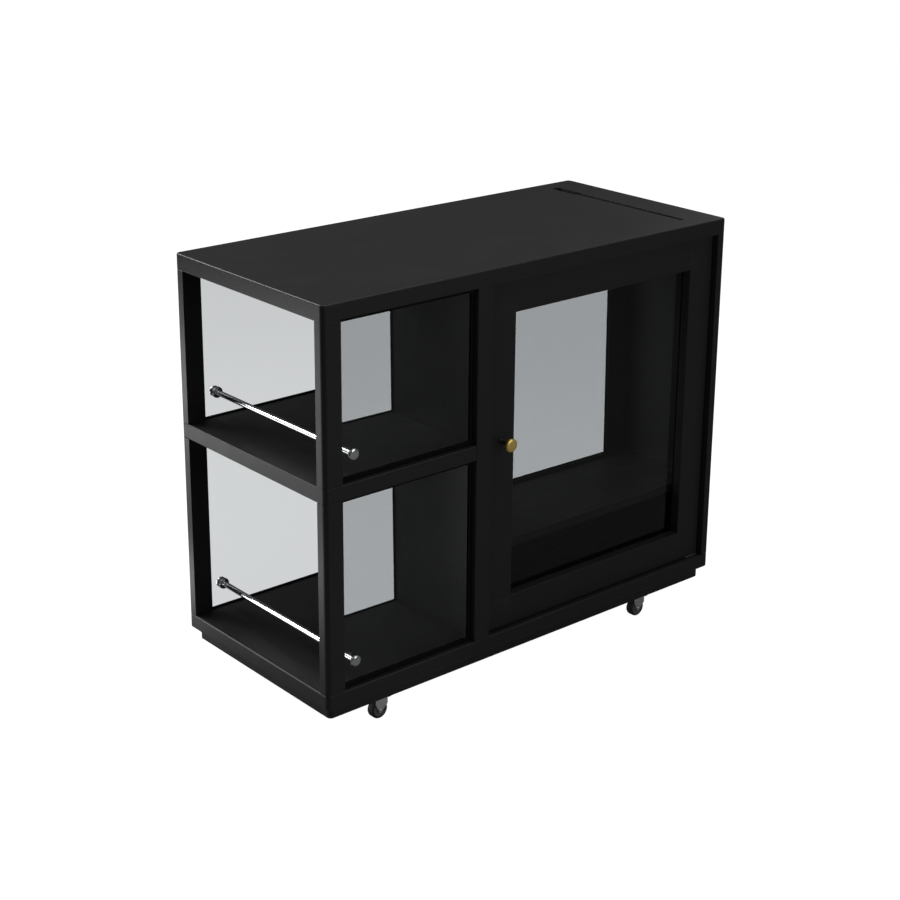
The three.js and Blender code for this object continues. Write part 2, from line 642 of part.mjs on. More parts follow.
/** The magnet on the divider and the strike on the back of the latch stile. */
function addCatch(door) {
  const strikeY = DOOR_BACK_Y + JOINT_GAP;
  const magnetY = strikeY + STRIKE_THICKNESS + CATCH_AIR_GAP;
  const magnetX = CABINET_X + JOINT_GAP;
  const magnetSize = [CATCH_WIDTH, CATCH_DEPTH, CATCH_LENGTH];
  board(cart, "catch_magnet", [magnetX, magnetY, CATCH_Z], magnetSize, greyNylon);
  const strikeX = DOOR_LEFT_X + 1;
  const strikeSize = [CATCH_WIDTH, STRIKE_THICKNESS, CATCH_LENGTH];
  board(door, "catch_strike", [strikeX, strikeY, CATCH_Z], strikeSize, zincSteel);
}

function addDoor() {
  const door = new THREE.Group();
  cart.add(door);
  addDoorFrame(door);
  addDoorGlazing(door);
  add(door, "door_knob", knobBody(), brass, [KNOB_X, DOOR_RECESS, KNOB_Z]);
  addPivot(door, "top", true);
  addPivot(door, "bottom", false);
  addCatch(door);
}

// ---- Casters, built about the swivel axis with z = 0 on the floor

/** The mounting plate with its ball race and riveted king pin. */
function casterPlate() {
  const halfLength = CASTER_PLATE_LENGTH / 2;
  const halfWidth = CASTER_PLATE_WIDTH / 2;
  const plate = box(
    [-halfLength, -halfWidth, CASTER_PLATE_Z],
    [halfLength, halfWidth, CASTER_PLATE_Z + CASTER_PLATE_THICKNESS],
  );
  const headTopZ = CROWN_BOTTOM_Z - RUNNING_GAP;
  const pin = turnedZ([
    [0, headTopZ - KING_PIN_HEAD_THICKNESS],
    [KING_PIN_HEAD_RADIUS, headTopZ - KING_PIN_HEAD_THICKNESS],
    [KING_PIN_HEAD_RADIUS, headTopZ],
    [KING_PIN_RADIUS, headTopZ],
    [KING_PIN_RADIUS, RACE_BOTTOM_Z],
    [RACE_RADIUS - 1.5, RACE_BOTTOM_Z],
    [RACE_RADIUS, RACE_BOTTOM_Z + 1.5],
    [RACE_RADIUS, CASTER_PLATE_Z + 1],
    [0, CASTER_PLATE_Z + 1],
  ]);
  return join(plate, pin);
}

/** One leg of the fork: a broad plate under the crown that narrows to a round boss at the axle. */
function forkLeg(y) {
  const noseX = -CASTER_TRAIL - FORK_NOSE;
  const heelX = -CASTER_TRAIL + FORK_HEEL;
  const topZ = CROWN_TOP_Z - 0.5;
  const leg = new THREE.Shape();
  leg.absarc(-CASTER_TRAIL, WHEEL_RADIUS, FORK_BOSS_RADIUS, 0.9 * Math.PI, 2.05 * Math.PI, false);
  leg.lineTo(heelX, WHEEL_RADIUS + FORK_HEEL_HEIGHT);
  leg.lineTo(heelX, topZ);
  leg.lineTo(noseX, topZ);
  leg.lineTo(noseX, WHEEL_RADIUS + FORK_NOSE_HEIGHT);
  const plate = new THREE.ExtrudeGeometry(leg, { depth: FORK_SHEET, bevelEnabled: false, curveSegments: 10 });
  return plate.rotateX(Math.PI / 2).translate(0, y + FORK_SHEET, 0);
}

/** The swivel fork: a crown and a bridge over the wheel, with the king pin's hole, and two legs. */
function fork() {
  const legY = WHEEL_WIDTH / 2 + FORK_SIDE_GAP;
  const crown = barZ(FORK_CROWN_RADIUS, CROWN_BOTTOM_Z, CROWN_TOP_Z);
  const bridge = box(
    [-CASTER_TRAIL - FORK_NOSE, -legY - 0.5 * FORK_SHEET, CROWN_BOTTOM_Z],
    [-CASTER_TRAIL + FORK_HEEL, legY + 0.5 * FORK_SHEET, CROWN_TOP_Z - 0.5],
  );
  const body = join(crown, bridge, forkLeg(legY), forkLeg(-legY - FORK_SHEET));
  const pinHole = barZ(KING_PIN_RADIUS + RUNNING_GAP, 0, PLINTH_BOTTOM_Z);
  const axleHole = barY(AXLE_RADIUS + JOINT_GAP, -PLINTH_BOTTOM_Z, PLINTH_BOTTOM_Z);
  axleHole.translate(-CASTER_TRAIL, 0, WHEEL_RADIUS);
  return cut(body, pinHole, axleHole);
}

/** The riveted axle, with a head outside each leg. */
function axle() {
  const shoulder = WHEEL_WIDTH / 2 + FORK_SIDE_GAP + FORK_SHEET + JOINT_GAP;
  const end = shoulder + AXLE_HEAD_THICKNESS;
  return turnedY([
    [0, -end],
    [AXLE_HEAD_RADIUS - 1, -end],
    [AXLE_HEAD_RADIUS, -end + 0.7],
    [AXLE_HEAD_RADIUS, -shoulder],
    [AXLE_RADIUS, -shoulder],
    [AXLE_RADIUS, shoulder],
    [AXLE_HEAD_RADIUS, shoulder],
    [AXLE_HEAD_RADIUS, end - 0.7],
    [AXLE_HEAD_RADIUS - 1, end],
    [0, end],
  ]);
}

/** The wheel about its axle: a rounded tread, dished sides and a bore. */
function wheel() {
  const half = WHEEL_WIDTH / 2;
  const bore = AXLE_RADIUS + RUNNING_GAP;
  const hub = AXLE_HEAD_RADIUS + 1.5;
  const dishY = half - WHEEL_DISH_DEPTH;
  return turnedY(
    [
      [bore, -half],
      [hub, -half],
      [hub + 1, -dishY],
      [WHEEL_DISH_RADIUS - 1, -dishY],
      [WHEEL_DISH_RADIUS, -half],
      [WHEEL_RADIUS - WHEEL_EDGE, -half],
      [WHEEL_RADIUS - 0.8, -half + 1.2],
      [WHEEL_RADIUS, -half + WHEEL_EDGE],
      [WHEEL_RADIUS, half - WHEEL_EDGE],
      [WHEEL_RADIUS - 0.8, half - 1.2],
      [WHEEL_RADIUS - WHEEL_EDGE, half],
      [WHEEL_DISH_RADIUS, half],
      [WHEEL_DISH_RADIUS - 1, dishY],
      [hub + 1, dishY],
      [hub, half],
      [bore, half],
      [bore, -half],
    ],
    WHEEL_SEGMENTS,
  );
}

function addCasters() {
  for (const [side, y] of [["front", CASTER_FACE_INSET], ["back", DEPTH - CASTER_FACE_INSET]]) {
    for (const [end, x] of [["left", CASTER_END_INSET], ["right", LENGTH - CASTER_END_INSET]]) {
      const caster = new THREE.Group();
      caster.position.set(x, y, 0);
      cart.add(caster);
      const place = `${side}_${end}`;
      const axlePlace = [-CASTER_TRAIL, 0, WHEEL_RADIUS];
      add(caster, `caster_plate_${place}`, casterPlate(), zincSteel);
      add(caster, `caster_fork_${place}`, fork(), zincSteel);
      add(caster, `caster_axle_${place}`, axle(), zincSteel, axlePlace);
      add(caster, `caster_wheel_${place}`, wheel(), tyreRubber, axlePlace);
    }
  }
}

addCarcass();
addCabinetShelf();
addAllGlazing();
addGuardRails();
addDoor();
addCasters();

// The part's origin is on the floor, at the middle of the whole object's length and depth, knob included.
cart.position.set(-LENGTH / 2, -(DEPTH - KNOB_PROUD) / 2, 0);

export default cart;
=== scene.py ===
"""Looks of the kitchen island cart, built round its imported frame.

The cart has two open glazed bays at its left end, a glass-door cabinet at its right, a worktop
with a cable hole and a tablet groove, and a plinth board on four swivel casters. Everything is in
metres in the frame's own axes: +X towards the cabinet, +Y to the back, +Z up, floor at Z = 0.
"""

import logging
import math
from dataclasses import dataclass, field
from enum import Enum
from typing import Callable, Iterable, Sequence

import bmesh
import bpy
from mathutils import Euler, Matrix, Vector


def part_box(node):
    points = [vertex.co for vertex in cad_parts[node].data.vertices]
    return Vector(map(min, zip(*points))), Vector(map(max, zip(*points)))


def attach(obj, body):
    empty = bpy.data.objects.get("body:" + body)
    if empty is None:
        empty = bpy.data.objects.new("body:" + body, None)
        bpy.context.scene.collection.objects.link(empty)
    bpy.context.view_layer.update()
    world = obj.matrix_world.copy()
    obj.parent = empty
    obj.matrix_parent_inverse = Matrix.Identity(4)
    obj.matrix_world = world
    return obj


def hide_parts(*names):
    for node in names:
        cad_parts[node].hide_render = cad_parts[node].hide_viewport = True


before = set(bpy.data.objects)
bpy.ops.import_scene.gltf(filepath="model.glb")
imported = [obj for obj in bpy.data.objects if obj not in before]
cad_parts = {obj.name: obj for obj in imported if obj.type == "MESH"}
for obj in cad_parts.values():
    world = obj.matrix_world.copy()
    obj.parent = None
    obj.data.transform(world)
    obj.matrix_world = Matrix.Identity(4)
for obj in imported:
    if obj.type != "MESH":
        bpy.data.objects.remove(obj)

log = logging.getLogger("island_cart")

MM = 0.001
JOINT = 0.3 * MM

Point = tuple[float, float, float]
Outline = Sequence[tuple[float, float]]
Sockets = bpy.types.NodeOutputs
FaceTest = Callable[[Vector, Vector], bool]
EdgeTest = Callable[[Vector, Vector], bool]


class Axis(Enum):
    """The direction in which a round part is turned or a board's grain runs."""

    X = 0
    Y = 1
    Z = 2


class Slot(Enum):
    """The record's material slots of the pieces made here; the panes keep their own."""

    LACQUER = "black_lacquer"
    GASKET = "black_rubber"
    CHROME = "chrome"
    BRASS = "brass"
    ZINC = "zinc_steel"
    NYLON = "grey_nylon"
    TYRE = "tyre_rubber"


class Level(Enum):
    """The two open bays."""

    LOWER = "lower"
    UPPER = "upper"


# ---------------------------------------------------------------------------------------------
# Node sketching and the shared shader groups
# ---------------------------------------------------------------------------------------------


class Sketch:
    """Adds and joins nodes in one node tree."""

    def __init__(self, tree: bpy.types.NodeTree) -> None:
        """Keeps the tree that the nodes go into."""
        self.tree = tree

    def add(self, kind: str, inputs: dict | None = None, **settings: object) -> bpy.types.Node:
        """Adds a node.

        Args:
            kind: the node's type name.
            inputs: values or output sockets for its inputs, by socket name or number.
            settings: the node's own properties.

        Returns:
            The new node.
        """
        node = self.tree.nodes.new(kind)
        for key, value in settings.items():
            setattr(node, key, value)
        for key, value in (inputs or {}).items():
            self.feed(node.inputs[key], value)
        return node

    def feed(self, socket: bpy.types.NodeSocket, value: object) -> None:
        """Links an output to a socket, or sets the socket's own value.

        Args:
            socket: the input socket.
            value: an output socket, or a plain value.
        """
        if isinstance(value, bpy.types.NodeSocket):
            self.tree.links.new(value, socket)
        else:
            socket.default_value = value

    def group(self, tree: bpy.types.NodeTree, **inputs: object) -> bpy.types.Node:
        """Places a shared group, with its inputs given by name.

        Args:
            tree: the group's tree.
            inputs: a value or an output socket for each named input.

        Returns:
            The group node.
        """
        node = self.add("ShaderNodeGroup", node_tree=tree)
        for key, value in inputs.items():
            self.feed(node.inputs[key], value)
        return node

    def math(self, operation: str, a: object, b: object = 0.0) -> bpy.types.NodeSocket:
        """Adds a math node and returns its output."""
        return self.add("ShaderNodeMath", {0: a, 1: b}, operation=operation).outputs[0]

    def blend(self, factor: object, a: object, b: object) -> bpy.types.NodeSocket:
        """Mixes two colours and returns the output.

        Args:
            factor: the share of the second colour.
            a: the first colour.
            b: the second colour.

        Returns:
            The mixed colour's socket.
        """
        node = self.add("ShaderNodeMix", data_type="RGBA")
        for index, value in ((0, factor), (6, a), (7, b)):
            self.feed(node.inputs[index], value)
        return node.outputs[2]

    def remap(self, value: object, low: float, high: float) -> bpy.types.NodeSocket:
        """Takes 0..1 to low..high and returns the output."""
        return self.add("ShaderNodeMapRange", {0: value, 3: low, 4: high}).outputs[0]

    def window(self, value: object, start: float, end: float) -> bpy.types.NodeSocket:
        """Takes start..end to 0..1, cuts off what lies outside, and returns the output."""
        return self.add("ShaderNodeMapRange", {0: value, 1: start, 2: end}).outputs[0]

    def place(self) -> bpy.types.NodeSocket:
        """The point on the piece, in metres in the frame's axes."""
        return self.add("ShaderNodeTexCoord").outputs["Object"]

    def stretched(self, scale: object) -> bpy.types.NodeSocket:
        """The point on the piece, stretched by a scale along each axis."""
        return self.add("ShaderNodeMapping", {"Vector": self.place(), "Scale": scale}).outputs[0]

    def noise(self, where: object, scale: object, **more: float) -> bpy.types.NodeSocket:
        """Adds cloudy noise at a point, with its size and any other inputs, and returns the output."""
        return self.add("ShaderNodeTexNoise", {"Vector": where, "Scale": scale, **more}).outputs[0]


Pattern = Callable[[Sketch, Sockets], bpy.types.NodeSocket]


class SharedEffects:
    """The shader groups that more than one finish uses, each built once with an Amount input."""

    def __init__(self) -> None:
        """Builds every group."""
        pores, hairlines = {"Stretch": (6.0, 90.0, 90.0)}, {"Stretch": (900.0, 14.0, 900.0)}
        self.grain = self.build_group("wood_grain", "Pores", 1.0, pores, self.grain_mask)
        self.stipple = self.build_group("stipple", "Height", 1.0, {"Scale": 900.0}, self.stipple_height)
        self.smudges = self.build_group("smudges", "Mask", 1.0, {"Scale": 7.0}, self.smudge_mask)
        self.dust = self.build_group("dust_film", "Mask", 0.1, {}, self.dust_mask)
        # This mask is partly real worn edges and partly a painted highlight along eased edges.
        self.edge_wear_and_highlight = self.build_group("edge_wear_and_highlight", "Mask", 0.5, {"Radius": 0.002}, self.wear_and_highlight_mask)
        self.hairlines = self.build_group("hairlines", "Mask", 1.0, hairlines, self.line_mask)

    @staticmethod
    def build_group(
        name: str, result: str, amount: float, inputs: dict[str, float | Point], pattern: Pattern
    ) -> bpy.types.NodeTree:
        """Builds one group, whose pattern is multiplied by its Amount.

        Args:
            name: the group's name.
            result: the name of its one output.
            amount: the default of its Amount input.
            inputs: the name and default of each further input.
            pattern: draws the pattern from a sketch of the group and its input sockets.

        Returns:
            The group's tree.
        """
        tree = bpy.data.node_groups.new(name, "ShaderNodeTree")
        for label, default in {**inputs, "Amount": amount}.items():
            kind = "NodeSocketFloat" if isinstance(default, float) else "NodeSocketVector"
            tree.interface.new_socket(name=label, in_out="INPUT", socket_type=kind).default_value = default
        tree.interface.new_socket(name=result, in_out="OUTPUT", socket_type="NodeSocketFloat")
        sketch = Sketch(tree)
        given = tree.nodes.new("NodeGroupInput").outputs
        drawn = sketch.math("MULTIPLY", pattern(sketch, given), given["Amount"])
        sketch.feed(tree.nodes.new("NodeGroupOutput").inputs[result], drawn)
        return tree

    @staticmethod
    def grain_mask(sketch: Sketch, given: Sockets) -> bpy.types.NodeSocket:
        """Long soft wood pores under the lacquer, stretched along the board.

        Args:
            sketch: a sketch of the group.
            given: the group's input sockets.

        Returns:
            The pattern's socket.
        """
        mapped = sketch.stretched(given["Stretch"])
        wander = sketch.noise(mapped, 1.0, Detail=4.0, Roughness=0.6)
        pores = sketch.noise(mapped, 7.0, Detail=3.0, Distortion=0.4)
        return sketch.math("MULTIPLY", sketch.window(pores, 0.52, 0.68), wander)

    @staticmethod
    def stipple_height(sketch: Sketch, given: Sockets) -> bpy.types.NodeSocket:
        """The fine even texture that a spray or a mould leaves.

        Args:
            sketch: a sketch of the group.
            given: the group's input sockets.

        Returns:
            The pattern's socket.
        """
        place = sketch.place()
        fine = sketch.noise(place, given["Scale"], Detail=2.0)
        wide = sketch.noise(place, 60.0, Detail=1.0)
        return sketch.math("ADD", fine, sketch.math("MULTIPLY", wide, 0.6))

    @staticmethod
    def smudge_mask(sketch: Sketch, given: Sockets) -> bpy.types.NodeSocket:
        """Soft cloudy patches left by wiping and handling."""
        cloud = sketch.noise(sketch.place(), given["Scale"], Detail=5.0, Roughness=0.62, Distortion=0.6)
        return sketch.window(cloud, 0.35, 0.72)

    @staticmethod
    def dust_mask(sketch: Sketch, _given: Sockets) -> bpy.types.NodeSocket:
        """A thin film of dust on faces that look up.

        Args:
            sketch: a sketch of the group.
            _given: the group's input sockets, not used here.

        Returns:
            The pattern's socket.
        """
        here = sketch.add("ShaderNodeTexCoord").outputs
        up = sketch.add("ShaderNodeSeparateXYZ", {0: here["Normal"]}).outputs["Z"]
        specks = sketch.noise(here["Object"], 420.0, Detail=3.0)
        drift = sketch.noise(here["Object"], 5.0, Detail=3.0)
        return sketch.math("MULTIPLY", sketch.math("MULTIPLY", specks, drift), sketch.window(up, 0.5, 1.0))

    @staticmethod
    def wear_and_highlight_mask(sketch: Sketch, given: Sockets) -> bpy.types.NodeSocket:
        """Where an edge's finish is worn thin and where an edge takes a painted highlight, in one mask,
        from how much a rounded normal turns there.

        Args:
            sketch: a sketch of the group.
            given: the group's input sockets.

        Returns:
            The pattern's socket.
        """
        rounded = sketch.add("ShaderNodeBevel", {"Radius": given["Radius"]}, samples=4).outputs[0]
        plain = sketch.add("ShaderNodeNewGeometry").outputs["Normal"]
        turn = sketch.add("ShaderNodeVectorMath", {0: rounded, 1: plain}, operation="DOT_PRODUCT")
        near = sketch.window(turn.outputs["Value"], 0.99, 0.86)
        patchy = sketch.noise(sketch.place(), 38.0, Detail=4.0)
        return sketch.math("MULTIPLY", near, sketch.remap(patchy, 0.3, 1.0))

    @staticmethod
    def line_mask(sketch: Sketch, given: Sockets) -> bpy.types.NodeSocket:
        """Hairlines along one direction, as polishing or brushing leaves."""
        return sketch.noise(sketch.stretched(given["Stretch"]), 1.0, Detail=2.0)


# ---------------------------------------------------------------------------------------------
# Finishes
# ---------------------------------------------------------------------------------------------


def new_material(name: str) -> tuple[bpy.types.Material, Sketch, bpy.types.Node]:
    """Makes a node material.

    Args:
        name: the material's name.

    Returns:
        The material, a sketch of its tree and its Principled node.
    """
    material = bpy.data.materials.new(name)
    material.use_nodes = True
    return material, Sketch(material.node_tree), material.node_tree.nodes["Principled BSDF"]


@dataclass(frozen=True)
class LacquerFinish:
    """Satin black lacquer on board; the grain shows only as a faint texture along one axis."""

    name: str
    grain: Axis
    colour: Point = (0.0098, 0.0094, 0.0093)
    # The edge colour below is partly worn lacquer and partly a painted highlight.
    worn_and_highlit_colour: Point = (0.055, 0.055, 0.056)
    dust_colour: Point = (0.10, 0.098, 0.094)
    roughness: float = 0.42
    gloss_level: float = 0.31
    dust: float = 0.10
    wear_and_highlight: float = 0.55
    scale_along_grain: float = 3.0
    scale_across_grain: float = 70.0
    pore_shade: float = 0.72

    def build(self, effects: SharedEffects) -> bpy.types.Material:
        """Makes the material from the shared effects.

        Args:
            effects: the shader groups that finishes share.

        Returns:
            The material.
        """
        material, sketch, skin = new_material(self.name)
        stretch = [self.scale_across_grain] * 3
        stretch[self.grain.value] = self.scale_along_grain
        grain = sketch.group(effects.grain, Stretch=stretch, Amount=1.0).outputs["Pores"]
        smudges = sketch.group(effects.smudges, Scale=6.0, Amount=1.0).outputs["Mask"]
        dust = sketch.group(effects.dust, Amount=self.dust).outputs["Mask"]
        wear_and_highlight = sketch.group(effects.edge_wear_and_highlight, Radius=1.6 * MM, Amount=self.wear_and_highlight).outputs["Mask"]
        stipple = sketch.group(effects.stipple, Scale=850.0, Amount=1.0).outputs["Height"]
        deep = tuple(self.pore_shade * value for value in self.colour)
        paint = sketch.blend(grain, (*self.colour, 1.0), (*deep, 1.0))
        # Edges are painted lighter: partly worn lacquer, partly a painted highlight.
        worn_and_highlit_paint = sketch.blend(wear_and_highlight, paint, (*self.worn_and_highlit_colour, 1.0))
        sketch.feed(skin.inputs["Base Color"], sketch.blend(dust, worn_and_highlit_paint, (*self.dust_colour, 1.0)))
        rough = sketch.remap(smudges, self.roughness - 0.04, self.roughness + 0.06)
        sketch.feed(skin.inputs["Roughness"], sketch.math("ADD", rough, dust))
        spray, pores = sketch.math("MULTIPLY", stipple, 0.4), sketch.math("MULTIPLY", grain, 0.8)
        height = sketch.math("SUBTRACT", spray, pores)
        bump = sketch.add("ShaderNodeBump", {"Strength": 0.05, "Distance": 0.10 * MM, "Height": height})
        sketch.feed(skin.inputs["Normal"], bump.outputs[0])
        skin.inputs["Specular IOR Level"].default_value = self.gloss_level
        return material


@dataclass(frozen=True)
class GlassFinish:
    """Grey-tinted glass that bends the view once, where it enters the pane."""

    name: str = "tinted_glass"
    colour: Point = (0.326, 0.343, 0.353)
    shadow_tint: Point = (0.70, 0.71, 0.715)
    index: float = 1.5

    def build(self, effects: SharedEffects) -> bpy.types.Material:
        """Makes the material from the shared effects.

        Args:
            effects: the shader groups that finishes share.

        Returns:
            The material.
        """
        material, sketch, skin = new_material(self.name)
        smudges = sketch.group(effects.smudges, Scale=9.0, Amount=1.0).outputs["Mask"]
        skin.inputs["Base Color"].default_value = (*self.colour, 1.0)
        skin.inputs["Transmission Weight"].default_value = 1.0
        skin.inputs["IOR"].default_value = self.index
        sketch.feed(skin.inputs["Roughness"], sketch.remap(smudges, 0.0, 0.004))
        clear = sketch.add("ShaderNodeBsdfTransparent", {"Color": (*self.shadow_tint, 1.0)})
        through = sketch.add("ShaderNodeBsdfTransparent")
        inside = sketch.add("ShaderNodeNewGeometry").outputs["Backfacing"]
        shadow = sketch.add("ShaderNodeLightPath").outputs["Is Shadow Ray"]
        leaving = sketch.add("ShaderNodeMixShader", {0: inside, 1: skin.outputs[0], 2: through.outputs[0]})
        shaded = sketch.add("ShaderNodeMixShader", {0: shadow, 1: leaving.outputs[0], 2: clear.outputs[0]})
        sketch.feed(material.node_tree.nodes["Material Output"].inputs["Surface"], shaded.outputs[0])
        return material


@dataclass(frozen=True)
class MetalFinish:
    """A plated or turned metal with hairlines, smudges and edges painted brighter, partly worn and partly a
    painted highlight.
    """

    name: str
    colour: Point
    dull_colour: Point
    roughness: float
    spread: float
    hairline_scale: Point = (900.0, 14.0, 900.0)
    wear_and_highlight: float = 0.3
    bump: float = 0.05

    def build(self, effects: SharedEffects) -> bpy.types.Material:
        """Makes the material from the shared effects.

        Args:
            effects: the shader groups that finishes share.

        Returns:
            The material.
        """
        material, sketch, skin = new_material(self.name)
        lines = sketch.group(effects.hairlines, Stretch=self.hairline_scale, Amount=1.0).outputs["Mask"]
        smudges = sketch.group(effects.smudges, Scale=55.0, Amount=1.0).outputs["Mask"]
        wear_and_highlight = sketch.group(effects.edge_wear_and_highlight, Radius=0.5 * MM, Amount=self.wear_and_highlight).outputs["Mask"]
        plate = sketch.blend(smudges, (*self.colour, 1.0), (*self.dull_colour, 1.0))
        # Edges are painted brighter: partly worn plating, partly a painted highlight.
        worn_and_highlit_metal = tuple(min(1.0, 1.15 * value) for value in self.colour)
        sketch.feed(skin.inputs["Base Color"], sketch.blend(wear_and_highlight, plate, (*worn_and_highlit_metal, 1.0)))
        both = sketch.math("MULTIPLY", sketch.math("ADD", lines, smudges), 0.5)
        rough = sketch.remap(both, self.roughness - self.spread, self.roughness + self.spread)
        sketch.feed(skin.inputs["Roughness"], rough)
        skin.inputs["Metallic"].default_value = 1.0
        bump = sketch.add("ShaderNodeBump", {"Strength": self.bump, "Distance": 0.05 * MM, "Height": lines})
        sketch.feed(skin.inputs["Normal"], bump.outputs[0])
        return material


@dataclass(frozen=True)
class MouldedFinish:
    """Rubber or nylon with a fine moulded texture and a little dust."""

    name: str
    colour: Point
    faded_colour: Point
    roughness: float
    texture_scale: float
    dust: float = 0.2
    gloss_level: float = 0.35
    dust_colour: Point = (0.16, 0.155, 0.15)

    def build(self, effects: SharedEffects) -> bpy.types.Material:
        """Makes the material from the shared effects.

        Args:
            effects: the shader groups that finishes share.

        Returns:
            The material.
        """
        material, sketch, skin = new_material(self.name)
        smudges = sketch.group(effects.smudges, Scale=30.0, Amount=1.0).outputs["Mask"]
        dust = sketch.group(effects.dust, Amount=self.dust).outputs["Mask"]
        stipple = sketch.group(effects.stipple, Scale=self.texture_scale, Amount=1.0).outputs["Height"]
        body = sketch.blend(smudges, (*self.colour, 1.0), (*self.faded_colour, 1.0))
        sketch.feed(skin.inputs["Base Color"], sketch.blend(dust, body, (*self.dust_colour, 1.0)))
        rough = sketch.remap(smudges, self.roughness - 0.06, self.roughness + 0.06)
        sketch.feed(skin.inputs["Roughness"], rough)
        bump = sketch.add("ShaderNodeBump", {"Strength": 0.25, "Distance": 0.1 * MM, "Height": stipple})
        sketch.feed(skin.inputs["Normal"], bump.outputs[0])
        skin.inputs["Specular IOR Level"].default_value = self.gloss_level
        return material


class Finishes:
    """Every material of the cart, built once."""

    def __init__(self) -> None:
        """Builds the shared effects and then each material."""
        effects = SharedEffects()
        self.lacquer = {
            axis: LacquerFinish(f"black_lacquer_{axis.name.lower()}", axis).build(effects) for axis in Axis
        }
        self.glass = GlassFinish().build(effects)
        self.chrome = MetalFinish(
            "bright_chrome", (0.90, 0.91, 0.92), (0.74, 0.75, 0.77), 0.15, 0.07
        ).build(effects)
        self.brass = MetalFinish(
            "satin_brass", (1.0, 0.74, 0.24), (0.92, 0.64, 0.17), 0.44, 0.08, bump=0.12
        ).build(effects)
        self.zinc = MetalFinish(
            "zinc_plate", (0.74, 0.75, 0.76), (0.56, 0.57, 0.58), 0.40, 0.10, (260.0, 260.0, 260.0), 0.5
        ).build(effects)
        # The gasket's colour is set darker than black rubber: painted shade for the shadowed recesses that
        # the gaskets and the door bead sit in.
        self.gasket = MouldedFinish(
            "gasket_rubber_painted_shade", (0.0016, 0.0016, 0.0016), (0.004, 0.004, 0.004), 0.85, 1500.0, 0.01, 0.12
        ).build(effects)
        self.tyre = MouldedFinish(
            "tyre_rubber", (0.010, 0.010, 0.010), (0.026, 0.026, 0.025), 0.66, 1300.0, 0.35
        ).build(effects)
        self.nylon = MouldedFinish(
            "grey_nylon", (0.105, 0.107, 0.112), (0.15, 0.15, 0.155), 0.46, 1700.0, 0.2
        ).build(effects)


# ---------------------------------------------------------------------------------------------
# Modelling operations
# ---------------------------------------------------------------------------------------------


